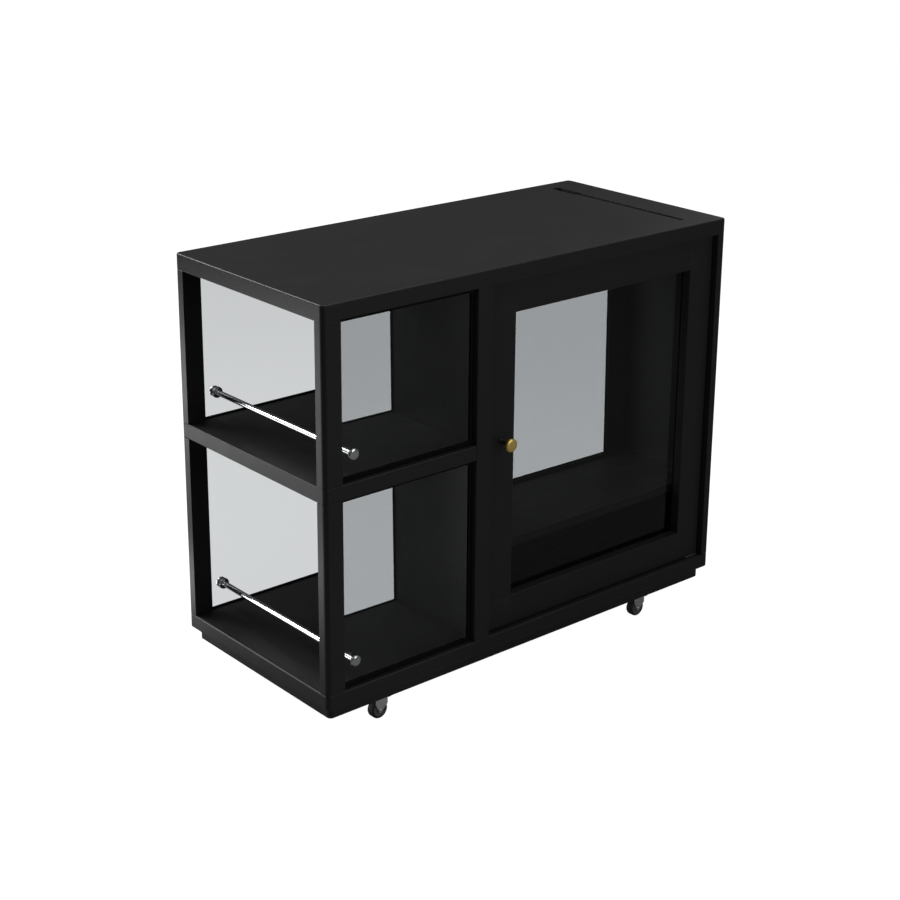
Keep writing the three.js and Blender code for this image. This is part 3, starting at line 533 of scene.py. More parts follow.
class Bench:
    """The modelling steps that the sub-assemblies share.

    open_mesh and select_faces leave Blender in edit mode, and every other step in object mode.
    """

    @staticmethod
    def clear_selection() -> None:
        """Deselects every object."""
        bpy.ops.object.select_all(action="DESELECT")

    @staticmethod
    def pick(*parts: bpy.types.Object) -> None:
        """Selects only these objects and makes the first one active.

        Args:
            parts: the objects, the active one first.
        """
        Bench.clear_selection()
        for part in parts:
            part.select_set(True)
        bpy.context.view_layer.objects.active = parts[0]

    @staticmethod
    def open_mesh(part: bpy.types.Object, mode: str = "FACE", action: str = "SELECT") -> None:
        """Goes into edit mode on a part, with all of its mesh selected or none of it.

        Args:
            part: the piece that is worked on.
            mode: VERT, EDGE or FACE.
            action: SELECT or DESELECT.
        """
        Bench.pick(part)
        bpy.ops.object.mode_set(mode="EDIT")
        bpy.ops.mesh.select_mode(type=mode)
        bpy.ops.mesh.select_all(action=action)

    @staticmethod
    def close_mesh() -> None:
        """Leaves edit mode."""
        bpy.ops.object.mode_set(mode="OBJECT")

    @staticmethod
    def bake_place(part: bpy.types.Object) -> None:
        """Moves the object's place, turn and scale into its mesh."""
        Bench.pick(part)
        bpy.ops.object.transform_apply(location=True, rotation=True, scale=True)

    @staticmethod
    def block(low: Sequence[float], high: Sequence[float]) -> bpy.types.Object:
        """A cube set between two corners, ready to be shaped.

        Args:
            low: the lowest corner.
            high: the highest corner.

        Returns:
            The block.
        """
        Bench.clear_selection()
        low, high = Vector(low), Vector(high)
        bpy.ops.mesh.primitive_cube_add(size=1.0, location=(low + high) / 2, scale=high - low)
        part = bpy.context.active_object
        Bench.bake_place(part)
        return part

    @staticmethod
    def round_edges(
        part: bpy.types.Object, radius: float, segments: int = 3, chosen: EdgeTest | None = None
    ) -> bpy.types.Object:
        """Rounds edges in edit mode.

        Args:
            part: the object.
            radius: the width of the rounding.
            segments: how many steps the rounding has.
            chosen: takes an edge's middle and its direction, and says if it is rounded; all
                edges are if it is left out.

        Returns:
            The same object.
        """
        Bench.open_mesh(part, "EDGE", "SELECT" if chosen is None else "DESELECT")
        if chosen is not None:
            shell = bmesh.from_edit_mesh(part.data)
            for edge in shell.edges:
                first, second = (corner.co for corner in edge.verts)
                along = (second - first).normalized()
                edge.select_set(chosen((first + second) / 2, along))
            bmesh.update_edit_mesh(part.data)
        bpy.ops.mesh.bevel(offset=radius, segments=segments, profile=0.5, affect="EDGES")
        Bench.close_mesh()
        return part

    @staticmethod
    def along(axis: Axis) -> EdgeTest:
        """A test for the edges that run along an axis."""
        return lambda _middle, direction: abs(direction[axis.value]) > 0.9

    @staticmethod
    def select_faces(part: bpy.types.Object, chosen: FaceTest) -> None:
        """Goes into edit mode with only the chosen faces selected, by middle and normal.

        Args:
            part: the piece that is worked on.
            chosen: takes a middle and a normal, and says if the face is selected.
        """
        Bench.open_mesh(part, action="DESELECT")
        shell = bmesh.from_edit_mesh(part.data)
        for face in shell.faces:
            face.select_set(chosen(face.calc_center_median(), face.normal))
        bmesh.update_edit_mesh(part.data)

    @staticmethod
    def shape(part: bpy.types.Object, kind: str, **settings: object) -> bpy.types.Object:
        """Adds a modifier with these settings and applies it.

        Args:
            part: the piece that is worked on.
            kind: the modifier's type.
            settings: the modifier's own properties.

        Returns:
            The same piece.
        """
        Bench.pick(part)
        modifier = part.modifiers.new(kind.lower(), kind)
        for key, value in settings.items():
            setattr(modifier, key, value)
        bpy.ops.object.modifier_apply(modifier=modifier.name)
        return part

    @staticmethod
    def soften(
        part: bpy.types.Object, width: float, segments: int = 2, angle: float = 60.0
    ) -> bpy.types.Object:
        """Rounds every edge that is sharper than the angle, in degrees.

        Args:
            part: the piece that is worked on.
            width: the width of the rounding.
            segments: how many steps the rounding has.
            angle: edges sharper than this are rounded, in degrees.

        Returns:
            The same piece.
        """
        return Bench.shape(
            part,
            "BEVEL",
            width=width,
            segments=segments,
            limit_method="ANGLE",
            angle_limit=math.radians(angle),
            use_clamp_overlap=True,
        )

    @staticmethod
    def cut(part: bpy.types.Object, tool: bpy.types.Object) -> bpy.types.Object:
        """Cuts the tool's shape out of the part and takes the tool away.

        Args:
            part: the piece that is worked on.
            tool: the shape that is cut out; it is taken away.

        Returns:
            The same piece.
        """
        Bench.shape(part, "BOOLEAN", operation="DIFFERENCE", solver="EXACT", object=tool)
        bpy.data.objects.remove(tool, do_unlink=True)
        return part

    @staticmethod
    def join(part: bpy.types.Object, *others: bpy.types.Object) -> bpy.types.Object:
        """Makes one object of several that are fixed together.

        Args:
            part: the piece that is worked on.
            others: the objects that become part of it.

        Returns:
            The same piece.
        """
        Bench.pick(part, *others)
        bpy.ops.object.join()
        return part

    @staticmethod
    def turn(
        profile: Outline, centre: Sequence[float], axis: Axis, sides: int = 48
    ) -> bpy.types.Object:
        """Turns a round part, one extruded and resized ring after another.

        Args:
            profile: radius and distance along the axis, from the first disc to the last.
            centre: where distance 0 lies.
            axis: the direction of the axis.
            sides: how many sides each ring has.

        Returns:
            The closed part, in place.
        """
        Bench.clear_selection()
        radius, reach = profile[0]
        bpy.ops.mesh.primitive_circle_add(
            vertices=sides, radius=radius, fill_type="NGON", location=(0.0, 0.0, reach)
        )
        part = bpy.context.active_object
        Bench.bake_place(part)
        Bench.open_mesh(part)
        for next_radius, next_reach in profile[1:]:
            rise = (0.0, 0.0, next_reach - reach)
            bpy.ops.mesh.extrude_region_move(TRANSFORM_OT_translate={"value": rise})
            if abs(next_radius - radius) > 1e-7:
                ratio = next_radius / radius
                bpy.ops.transform.resize(value=(ratio, ratio, 1.0), center_override=(0.0, 0.0, next_reach))
            radius, reach = next_radius, next_reach
        Bench.close_mesh()
        quarter = math.pi / 2
        part.rotation_euler = {Axis.X: (0, quarter, 0), Axis.Y: (-quarter, 0, 0), Axis.Z: (0, 0, 0)}[axis]
        part.location = centre
        Bench.bake_place(part)
        return part

    @staticmethod
    def tunnel(part: bpy.types.Object, axis: Axis, rim: float) -> bpy.types.Object:
        """Opens a block right through along an axis, and leaves a rim of this width.

        Args:
            part: the piece that is worked on.
            axis: the direction of the tunnel.
            rim: the width of the rim that stays.

        Returns:
            The same piece.
        """

        def on_ends(_middle: Vector, normal: Vector) -> bool:
            """True for the two faces across the axis."""
            return abs(normal[axis.value]) > 0.9

        Bench.select_faces(part, on_ends)
        bpy.ops.mesh.inset(thickness=rim, use_even_offset=True)
        bpy.ops.mesh.bridge_edge_loops()
        Bench.close_mesh()
        return part

    @staticmethod
    def close(part: bpy.types.Object, smooth: float = 40.0) -> bpy.types.Object:
        """Merges doubles, turns faces outwards and sets even shading with flat faces kept flat.

        Args:
            part: the piece that is worked on.
            smooth: the angle, in degrees, under which shading is even.

        Returns:
            The same piece.
        """
        Bench.open_mesh(part)
        bpy.ops.mesh.remove_doubles(threshold=1e-6)
        bpy.ops.mesh.normals_make_consistent(inside=False)
        Bench.close_mesh()
        bpy.ops.object.shade_smooth_by_angle(angle=math.radians(smooth))
        return Bench.shape(part, "WEIGHTED_NORMAL", keep_sharp=True, weight=60)

    @staticmethod
    def copy(part: bpy.types.Object, shift: Sequence[float]) -> bpy.types.Object:
        """Copies a part with its own mesh.

        Args:
            part: the part to copy.
            shift: how far the copy moves.

        Returns:
            The copy, with its place in its mesh.
        """
        twin = part.copy()
        twin.data = part.data.copy()
        bpy.context.collection.objects.link(twin)
        twin.matrix_world = Matrix.Translation(Vector(shift))
        Bench.bake_place(twin)
        return twin


def fit_out(
    part: bpy.types.Object,
    name: str,
    body: str,
    slot: Slot,
    finish: bpy.types.Material,
    stands_for: Iterable[str] = (),
) -> bpy.types.Object:
    """Names, paints and mounts a finished piece.

    Args:
        part: the piece, in place.
        name: its name.
        body: the CAD body it moves with.
        slot: the record's slot that its finish comes from.
        finish: its material.
        stands_for: the CAD nodes it replaces.

    Returns:
        The same piece.
    """
    part.name = name
    part.data.name = name
    part.data.materials.clear()
    part.data.materials.append(finish)
    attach(part, body)
    nodes = list(stands_for)
    if nodes:
        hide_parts(*nodes)
    log.info("%s: %s on %s, %d faces", name, slot.value, body, len(part.data.polygons))
    return part


def paint_node(node: str, finish: bpy.types.Material) -> None:
    """Gives a CAD node that stays shown its material, on the object and not on its mesh.

    Args:
        node: the CAD node's name.
        finish: the material.
    """
    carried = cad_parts[node]
    if not carried.material_slots:
        carried.data.materials.append(finish)
    for slot in carried.material_slots:
        slot.link = "OBJECT"
        slot.material = finish
    log.info("%s: carried over from the frame", node)


# ---------------------------------------------------------------------------------------------
# Sub-assemblies
# ---------------------------------------------------------------------------------------------


@dataclass
class Carcass:
    """Worktop, shelves, posts, divider, side, back stile and plinth board."""

    finishes: Finishes
    ease: float = 1.8 * MM
    base_ease: float = 2.6 * MM
    upright_ease: float = 0.8 * MM
    top_ease: float = 3.0 * MM
    corner_radius: float = 10.0 * MM
    hole_width: float = 24.0 * MM
    hole_length: float = 86.0 * MM
    hole_back_margin: float = 44.0 * MM
    groove_width: float = 13.0 * MM
    groove_depth: float = 7.0 * MM
    groove_front_margin: float = 48.0 * MM
    slot_inset: float = 88.0 * MM
    slot_ease: float = 0.8 * MM
    slot_angle: float = 62.0
    grains: dict[str, Axis] = field(
        default_factory=lambda: {
            "bottom_panel": Axis.X,
            "mid_shelf": Axis.X,
            "divider_panel": Axis.Z,
            "side_panel_right": Axis.Z,
            "back_stile_right": Axis.Z,
            "back_panel_lower": Axis.X,
            "post_front_left_lower": Axis.Z,
            "post_back_left_lower": Axis.Z,
            "post_front_left_upper": Axis.Z,
            "post_back_left_upper": Axis.Z,
            "plinth_board": Axis.X,
        }
    )

    def build(self) -> None:
        """Builds every board of the carcass."""
        self.build_worktop()
        for node, grain in self.grains.items():
            self.build_board(node, grain)

    def build_board(self, node: str, grain: Axis) -> bpy.types.Object:
        """Builds one board with eased edges that meets its neighbours without a gap.

        Args:
            node: the CAD node's name.
            grain: the direction of the board's grain.

        Returns:
            The finished board.
        """
        low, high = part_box(node)
        reach = Vector((JOINT if node == "mid_shelf" else 0.0, 0.0, 0.0))
        board = Bench.block(low, high + reach)
        ends = self.round_ends(node)

        def is_cart_corner(place: Vector, along: Vector) -> bool:
            """True for an upright edge that is a corner of the whole cart."""
            at_end = any(abs(place.x - end) < MM for end in ends)
            at_side = any(abs(place.y - side) < MM for side in self.round_sides(node))
            return abs(along.z) > 0.9 and at_end and at_side

        if ends:
            Bench.round_edges(board, self.corner_radius, 8, is_cart_corner)
        ease = self.base_ease if node == "bottom_panel" else self.ease
        Bench.soften(board, self.upright_ease if grain is Axis.Z else ease, 3)
        Bench.close(board)
        lacquer = self.finishes.lacquer[grain]
        return fit_out(board, f"{node}_eased", "carcass", Slot.LACQUER, lacquer, [node])

    @staticmethod
    def round_ends(node: str) -> list[float]:
        """Where along X a board reaches a rounded end of the cart, if it does.

        Args:
            node: the CAD node's name.

        Returns:
            The places along X, if any.
        """
        low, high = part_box(node)
        if node in ("bottom_panel", "plinth_board"):
            return [low.x, high.x]
        if node == "mid_shelf" or node.startswith("post_"):
            return [low.x]
        return [high.x] if node == "side_panel_right" else []

    @staticmethod
    def round_sides(node: str) -> list[float]:
        """Where along Y a board's upright edges are rounded corners of the cart.

        Args:
            node: the CAD node's name.

        Returns:
            The places along Y.
        """
        low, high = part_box(node)
        if node.startswith("post_front"):
            return [low.y]
        return [high.y] if node.startswith("post_back") else [low.y, high.y]

    def slot_cutter(
        self, low: Sequence[float], high: Sequence[float], width: float
    ) -> bpy.types.Object:
        """A bar with round ends along Y, for cutting a hole or a groove.

        Args:
            low: the bar's lowest place along Y and Z.
            high: the bar's highest place along Y and Z.
            width: the bar's width along X, about the slot's middle.

        Returns:
            The bar.
        """
        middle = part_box("top_panel")[1].x - self.slot_inset
        cutter = Bench.block((middle - width / 2, *low), (middle + width / 2, *high))
        return Bench.round_edges(cutter, 0.499 * width, 10, Bench.along(Axis.Z))

    def build_worktop(self) -> bpy.types.Object:
        """Builds the worktop with round corners, eased edges, cable hole and tablet groove.

        Returns:
            The finished worktop.
        """
        low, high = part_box("top_panel")
        top = Bench.block(low, high)
        Bench.round_edges(top, self.corner_radius, 8, Bench.along(Axis.Z))

        def is_upper_rim(place: Vector, along: Vector) -> bool:
            """True for an edge round the top face."""
            return abs(place.z - high.z) < 0.1 * MM and abs(along.z) < 0.1

        def is_lower_rim(place: Vector, along: Vector) -> bool:
            """True for an edge round the underside."""
            return abs(place.z - low.z) < 0.1 * MM and abs(along.z) < 0.1

        Bench.round_edges(top, self.top_ease, 4, is_upper_rim)
        Bench.round_edges(top, self.upright_ease, 2, is_lower_rim)
        over = high.z + 10.0 * MM
        hole_back = high.y - self.hole_back_margin
        hole_front = hole_back - self.hole_length
        hole = self.slot_cutter((hole_front, low.z - 10.0 * MM), (hole_back, over), self.hole_width)
        Bench.cut(top, hole)
        groove_front = low.y + self.groove_front_margin
        groove_back = hole_front + self.hole_width / 2
        groove_floor = (groove_front, high.z - self.groove_depth)
        groove = self.slot_cutter(groove_floor, (groove_back, over), self.groove_width)
        Bench.cut(top, groove)
        Bench.soften(top, self.slot_ease, 2, self.slot_angle)
        Bench.close(top, 42.0)
        return fit_out(
            top, "worktop_eased", "carcass", Slot.LACQUER, self.finishes.lacquer[Axis.X], ["top_panel"]
        )


@dataclass
class CabinetShelf:
    """The shelf inside the cabinet and the two screwed cleats that carry it."""

    finishes: Finishes
    ease: float = 1.0 * MM
    screw_radius: float = 3.2 * MM
    screws_per_cleat: int = 3

    def build(self) -> None:
        """Builds the shelf and both cleats."""
        board = Bench.block(*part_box("cabinet_shelf"))
        Bench.round_edges(board, self.ease, 3)
        Bench.close(board)
        lacquer = self.finishes.lacquer
        fit_out(board, "cabinet_shelf_eased", "carcass", Slot.LACQUER, lacquer[Axis.X], ["cabinet_shelf"])
        for side in ("left", "right"):
            self.build_cleat(side)

    def build_cleat(self, side: str) -> None:
        """Builds one cleat and the countersunk screws in its inner face.

        Args:
            side: left or right.
        """
        node = f"shelf_cleat_{side}"
        low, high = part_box(node)
        cleat = Bench.block(low, high)
        Bench.round_edges(cleat, self.ease, 2)
        Bench.close(cleat)
        fit_out(cleat, f"{node}_eased", "carcass", Slot.LACQUER, self.finishes.lacquer[Axis.Y], [node])
        inward = 1.0 if side == "left" else -1.0
        face_x = high.x if side == "left" else low.x
        heads = []
        for index in range(self.screws_per_cleat):
            along = low.y + (high.y - low.y) * (index + 0.5) / self.screws_per_cleat
            place = (face_x, along, (low.z + high.z) / 2)
            heads.append(screw_head(place, Axis.X, inward, self.screw_radius))
        screws = Bench.join(*heads)
        fit_out(screws, f"cleat_screws_{side}", "carcass", Slot.ZINC, self.finishes.zinc)


def screw_head(place: Sequence[float], axis: Axis, outward: float, radius: float) -> bpy.types.Object:
    """A pan head with a driver recess, standing a little proud of the face it is in.

    Args:
        place: the middle of the head, on the face.
        axis: the screw's direction.
        outward: 1 or -1, the way out of the face along the axis.
        radius: the head's radius.

    Returns:
        The head, in place.
    """
    proud = 0.25 * radius
    steps = [
        (0.82 * radius, -0.5 * radius),
        (radius, -0.1 * radius),
        (0.96 * radius, 0.45 * proud),
        (0.80 * radius, 0.85 * proud),
        (0.52 * radius, proud),
        (0.46 * radius, 0.1 * proud),
        (0.30 * radius, -0.3 * radius),
    ]
    head = Bench.turn([(size, outward * reach) for size, reach in steps], place, axis, 24)
    return Bench.close(head, 35.0)


@dataclass
class Glazing:
    """The five fixed panes and the channel gaskets that hold them."""

    finishes: Finishes
    front_height: float = 9.0 * MM
    front_channel: float = 6.3 * MM
    back_height: float = 3.0 * MM
    back_channel: float = 2.1 * MM
    channel_wall: float = 1.7 * MM
    openings: tuple[str, ...] = ("front_lower", "back_lower", "front_upper", "back_upper", "back_cabinet")

    def build(self) -> None:
        """Builds each gasket and paints each pane."""
        for opening in self.openings:
            self.build_gasket(opening)
            paint_node(f"pane_{opening}", self.finishes.glass)

    def build_gasket(self, opening: str) -> bpy.types.Object:
        """Builds one gasket: a ring whose inner faces hold a channel for the pane.

        Args:
            opening: the opening that it lines.

        Returns:
            The finished gasket.
        """
        node = f"gasket_{opening}"
        low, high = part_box(node)
        reach = Vector((JOINT, 0.0, JOINT))
        low, high = low - reach, high + reach
        at_front = opening.startswith("front")
        height = self.front_height if at_front else self.back_height
        channel = self.front_channel if at_front else self.back_channel
        ring = Bench.tunnel(Bench.block(low, high), Axis.Y, height)
        middle = (low + high) / 2
        room = (high - low) / 2

        def on_sight_side(place: Vector, normal: Vector) -> bool:
            """True for the four faces round the opening."""
            inside_x = abs(place.x - middle.x) < room.x - height + MM
            inside_z = abs(place.z - middle.z) < room.z - height + MM
            return abs(normal.y) < 0.1 and inside_x and inside_z

        Bench.select_faces(ring, on_sight_side)
        bpy.ops.mesh.inset(thickness=self.channel_wall, use_even_offset=True)
        bpy.ops.mesh.extrude_region_shrink_fatten(TRANSFORM_OT_shrink_fatten={"value": -channel})
        Bench.close_mesh()
        Bench.soften(ring, height / 14, 2)
        Bench.close(ring)
        return fit_out(ring, f"{node}_moulded", "carcass", Slot.GASKET, self.finishes.gasket, [node])


@dataclass
class GuardRail:
    """One chrome rod between the panes of a bay, with its collar and two end caps."""

    finishes: Finishes
    level: Level
    rod_radius: float = 6.0 * MM
    collar_radius: float = 12.0 * MM
    collar_length: float = 8.0 * MM
    bore_radius: float = 3.8 * MM
    bore_depth: float = 14.0 * MM
    cap_radius: float = 11.5 * MM
    cap_thickness: float = 7.0 * MM
    cap_neck_radius: float = 7.0 * MM
    stud_radius: float = 3.5 * MM

    def build(self) -> None:
        """Builds the rod and both caps."""
        level = self.level.value
        low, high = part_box(f"guard_rail_{level}")
        centre = (low + high) / 2
        self.build_rod(Vector((centre.x, low.y, centre.z)), high.y - low.y)
        for side in ("front", "back"):
            self.build_cap(side, centre)

    def build_rod(self, start: Vector, length: float) -> None:
        """Builds the rod with a stepped, softly domed collar where it meets the back pane.

        Args:
            start: the front end of its axis.
            length: its length.
        """
        collar, rod = self.collar_radius, self.rod_radius
        collar_y = length - self.collar_length
        profile = [
            (self.bore_radius, self.bore_depth),
            (self.bore_radius, 0.0),
            (rod - 0.5 * MM, 0.0),
            (rod, 0.5 * MM),
            (rod, collar_y - 3.0 * MM),
            (rod + 0.4 * MM, collar_y - 1.5 * MM),
            (rod + 1.6 * MM, collar_y - 0.3 * MM),
            (collar - 3.0 * MM, collar_y),
            (collar - 1.2 * MM, collar_y + 0.5 * MM),
            (collar - 0.3 * MM, collar_y + 1.4 * MM),
            (collar, collar_y + 2.4 * MM),
            (collar, length - 1.0 * MM),
            (collar - 0.8 * MM, length),
            (self.bore_radius, length),
            (self.bore_radius, length - self.bore_depth),
        ]
        rail = Bench.close(Bench.turn(profile, start, Axis.Y, 56), 50.0)
        node = f"guard_rail_{self.level.value}"
        fit_out(rail, f"{node}_polished", "carcass", Slot.CHROME, self.finishes.chrome, [node])

    def build_cap(self, side: str, centre: Vector) -> None:
        """Builds one cap: a crowned disc on a neck, and the stud that passes the pane.

        Args:
            side: front or back.
            centre: the middle of the rod's axis.
        """
        node = f"rail_cap_{side}_{self.level.value}"
        low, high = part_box(node)
        outward = -1.0 if side == "front" else 1.0
        tip = low.y if side == "front" else high.y
        reach = high.y - low.y
        radius, thickness = self.cap_radius, self.cap_thickness
        profile = [
            (0.28 * radius, 0.0),
            (0.55 * radius, 0.12 * MM),
            (0.76 * radius, 0.42 * MM),
            (0.89 * radius, 1.0 * MM),
            (0.97 * radius, 1.9 * MM),
            (radius, 3.0 * MM),
            (radius, thickness - 1.2 * MM),
            (radius - 0.4 * MM, thickness - 0.4 * MM),
            (radius - 1.2 * MM, thickness),
            (self.cap_neck_radius + 0.8 * MM, thickness + 0.1 * MM),
            (self.cap_neck_radius, thickness + 0.9 * MM),
            (self.cap_neck_radius, thickness + 4.0 * MM - JOINT),
            (self.stud_radius, thickness + 4.0 * MM - JOINT),
            (self.stud_radius, reach - 0.6 * MM),
            (self.stud_radius - 0.6 * MM, reach),
        ]
        inward = [(size, -outward * along) for size, along in profile]
        cap = Bench.close(Bench.turn(inward, (centre.x, tip, centre.z), Axis.Y, 56), 38.0)
        fit_out(cap, f"{node}_polished", "carcass", Slot.CHROME, self.finishes.chrome, [node])


@dataclass
class Door:
    """The framed glass door with its bead, knob, pivot bushes and strike plate."""

    finishes: Finishes
    frame_width: float = 68.0 * MM
    bead_width: float = 14.0 * MM
    ease: float = 1.2 * MM
    knob_head: float = 14.0 * MM
    knob_neck: float = 4.5 * MM
    knob_foot: float = 6.5 * MM
    knob_stud: float = 2.5 * MM
    knob_stud_length: float = 18.0 * MM
    knob_head_thickness: float = 9.0 * MM
    body: str = "door"

    def build(self) -> None:
        """Builds the frame, glazing and fittings of the door."""
        self.build_frame()
        self.build_bead()
        paint_node("door_pane", self.finishes.glass)
        self.build_knob()
        self.build_bushes()
        self.build_strike()

    def rebate(self) -> bpy.types.Object:
        """The block that cuts the pane's rebate into the frame's back.

        Returns:
            The cutting block.
        """
        pane_low, pane_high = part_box("door_pane")
        gap = Vector((JOINT, JOINT, JOINT))
        return Bench.block(pane_low - gap, Vector((pane_high.x, pane_high.y + 0.01, pane_high.z)) + gap)

    def build_frame(self) -> None:
        """Builds the stiles and rails, rounded on their long edges and flush at the joints."""
        outer_low, outer_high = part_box("door_stile_latch")[0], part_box("door_stile_hinge")[1]
        for node, grain in (
            ("door_stile_latch", Axis.Z),
            ("door_stile_hinge", Axis.Z),
            ("door_rail_bottom", Axis.X),
            ("door_rail_top", Axis.X),
        ):
            low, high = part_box(node)
            reach = Vector((JOINT if grain is Axis.X else 0.0, 0.0, 0.0))
            member = Bench.block(low - reach, high + reach)
            middle = (low + high) / 2

            def is_long_edge(place: Vector, along: Vector, grain: Axis = grain) -> bool:
                """True for an edge along the member or on the door's outside."""
                on_top = abs(place.z - outer_high.z) < MM or abs(place.z - outer_low.z) < MM
                return abs(along[grain.value]) > 0.9 or (grain is Axis.Z and on_top)

            if grain is Axis.Z:
                self.notch_sight_edges(member, middle, outer_low, outer_high)
            else:
                Bench.round_edges(member, self.ease, 3, is_long_edge)
            Bench.cut(member, self.rebate())
            if node == "door_stile_latch":
                self.drill_knob_hole(member)
            Bench.close(member)
            lacquer = self.finishes.lacquer[grain]
            fit_out(member, f"{node}_painted", self.body, Slot.LACQUER, lacquer, [node])

    def notch_sight_edges(
        self, stile: bpy.types.Object, middle: Vector, outer_low: Vector, outer_high: Vector
    ) -> None:
        """Rounds a stile's edges, leaving flat the stretches of its inner edges that meet a rail.

        Args:
            stile: the stile.
            middle: the stile's middle.
            outer_low: the door frame's lowest corner.
            outer_high: the door frame's highest corner.
        """
        Bench.open_mesh(stile)
        for height in (outer_low.z + self.frame_width, outer_high.z - self.frame_width):
            bpy.ops.mesh.select_all(action="SELECT")
            bpy.ops.mesh.bisect(plane_co=(middle.x, middle.y, height), plane_no=(0.0, 0.0, 1.0))
        Bench.close_mesh()
        towards_glass = (outer_low.x + outer_high.x) / 2 - middle.x
        inner_x = middle.x + math.copysign(self.frame_width / 2, towards_glass)

        def is_open_edge(place: Vector, along: Vector) -> bool:
            """True for an outside edge, or an inner edge beside the glass."""
            inner = abs(place.x - inner_x) < MM
            beside_glass = outer_low.z + self.frame_width < place.z < outer_high.z - self.frame_width
            if abs(along.z) > 0.9:
                return not inner or beside_glass
            at_end = abs(place.z - outer_low.z) < MM or abs(place.z - outer_high.z) < MM
            return at_end and not inner

        Bench.round_edges(stile, self.ease, 3, is_open_edge)

    def drill_knob_hole(self, stile: bpy.types.Object) -> None:
        """Drills the hole that takes the knob's stud.

        Args:
            stile: the stile.
        """
        knob_low, knob_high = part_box("door_knob")
        middle = (knob_low + knob_high) / 2
        face_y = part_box("door_stile_latch")[0].y
        radius = self.knob_stud + JOINT
        drill = Bench.turn(
            [(radius, -MM), (radius, self.knob_stud_length + MM)], (middle.x, face_y, middle.z), Axis.Y, 24
        )
        Bench.cut(stile, drill)

    def build_bead(self) -> None:
        """Builds the black bead round the back of the glass."""
        low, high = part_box("door_bead")
        bead = Bench.tunnel(Bench.block(low, high), Axis.Y, self.bead_width)
        Bench.soften(bead, 0.6 * MM, 2)
        Bench.close(bead)
        fit_out(bead, "door_bead_moulded", self.body, Slot.GASKET, self.finishes.gasket, ["door_bead"])

    def build_knob(self) -> None:
        """Builds the knob: a flat brass head with rolled edges, on a slim black post with a stud."""
        low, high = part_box("door_knob")
        tip = Vector(((low.x + high.x) / 2, low.y, (low.z + high.z) / 2))
        head, neck, thickness = self.knob_head, self.knob_neck, self.knob_head_thickness
        head_profile = [
            (0.50 * head, 0.0),
            (0.72 * head, 0.15 * MM),
            (0.86 * head, 0.55 * MM),
            (0.94 * head, 1.2 * MM),
            (0.985 * head, 2.1 * MM),
            (head, 3.2 * MM),
            (head, thickness - 3.0 * MM),
            (0.975 * head, thickness - 1.8 * MM),
            (0.91 * head, thickness - 0.8 * MM),
            (0.82 * head, thickness),
            (0.60 * head, thickness),
        ]
        knob = Bench.close(Bench.turn(head_profile, tip, Axis.Y, 64), 50.0)
        fit_out(knob, "door_knob_head", self.body, Slot.BRASS, self.finishes.brass, ["door_knob"])
        foot_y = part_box("door_stile_latch")[0].y - low.y - JOINT
        post_profile = [
            (0.60 * head, thickness - 0.4 * MM),
            (neck + 1.0 * MM, thickness + 0.9 * MM),
            (neck, thickness + 2.0 * MM),
            (neck, foot_y - 3.2 * MM),
            (neck + 0.5 * MM, foot_y - 2.2 * MM),
            (self.knob_foot - 0.4 * MM, foot_y - 1.4 * MM),
            (self.knob_foot, foot_y - 0.8 * MM),
            (self.knob_foot, foot_y),
            (self.knob_stud, foot_y),
            (self.knob_stud, high.y - low.y - 0.8 * MM),
            (self.knob_stud - 0.8 * MM, high.y - low.y),
        ]
        post = Bench.close(Bench.turn(post_profile, tip, Axis.Y, 40), 50.0)
        lacquer = self.finishes.lacquer[Axis.Y]
        fit_out(post, "door_knob_post", self.body, Slot.LACQUER, lacquer, ["door_knob"])

    def build_bushes(self) -> None:
        """Builds the flanged brass bushes of both pivots."""
        for end, outward in (("top", 1.0), ("bottom", -1.0)):
            node = f"pivot_bush_{end}"
            low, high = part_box(node)
            centre = (low + high) / 2
            face = high.z if outward > 0 else low.z
            length = high.z - low.z
            profile = [
                (4.7 * MM, length),
                (5.1 * MM, length - 0.4 * MM),
                (5.1 * MM, 0.8 * MM),
                (7.0 * MM, 0.8 * MM),
                (7.0 * MM, 0.2 * MM),
                (6.8 * MM, 0.0),
                (3.3 * MM, 0.0),
                (3.3 * MM, length - 1.0 * MM),
            ]
            inward = [(size, -outward * along) for size, along in profile]
            bush = Bench.close(Bench.turn(inward, (centre.x, centre.y, face), Axis.Z, 40), 38.0)
            fit_out(bush, f"{node}_turned", self.body, Slot.BRASS, self.finishes.brass, [node])

    def build_strike(self) -> None:
        """Builds the steel strike plate with round corners."""
        low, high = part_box("catch_strike")
        plate = Bench.block(low, high)
        Bench.round_edges(plate, 3.0 * MM, 5, Bench.along(Axis.Y))
        Bench.soften(plate, 0.3 * MM, 2)
        Bench.close(plate)
        fit_out(plate, "catch_strike_pressed", self.body, Slot.ZINC, self.finishes.zinc, ["catch_strike"])


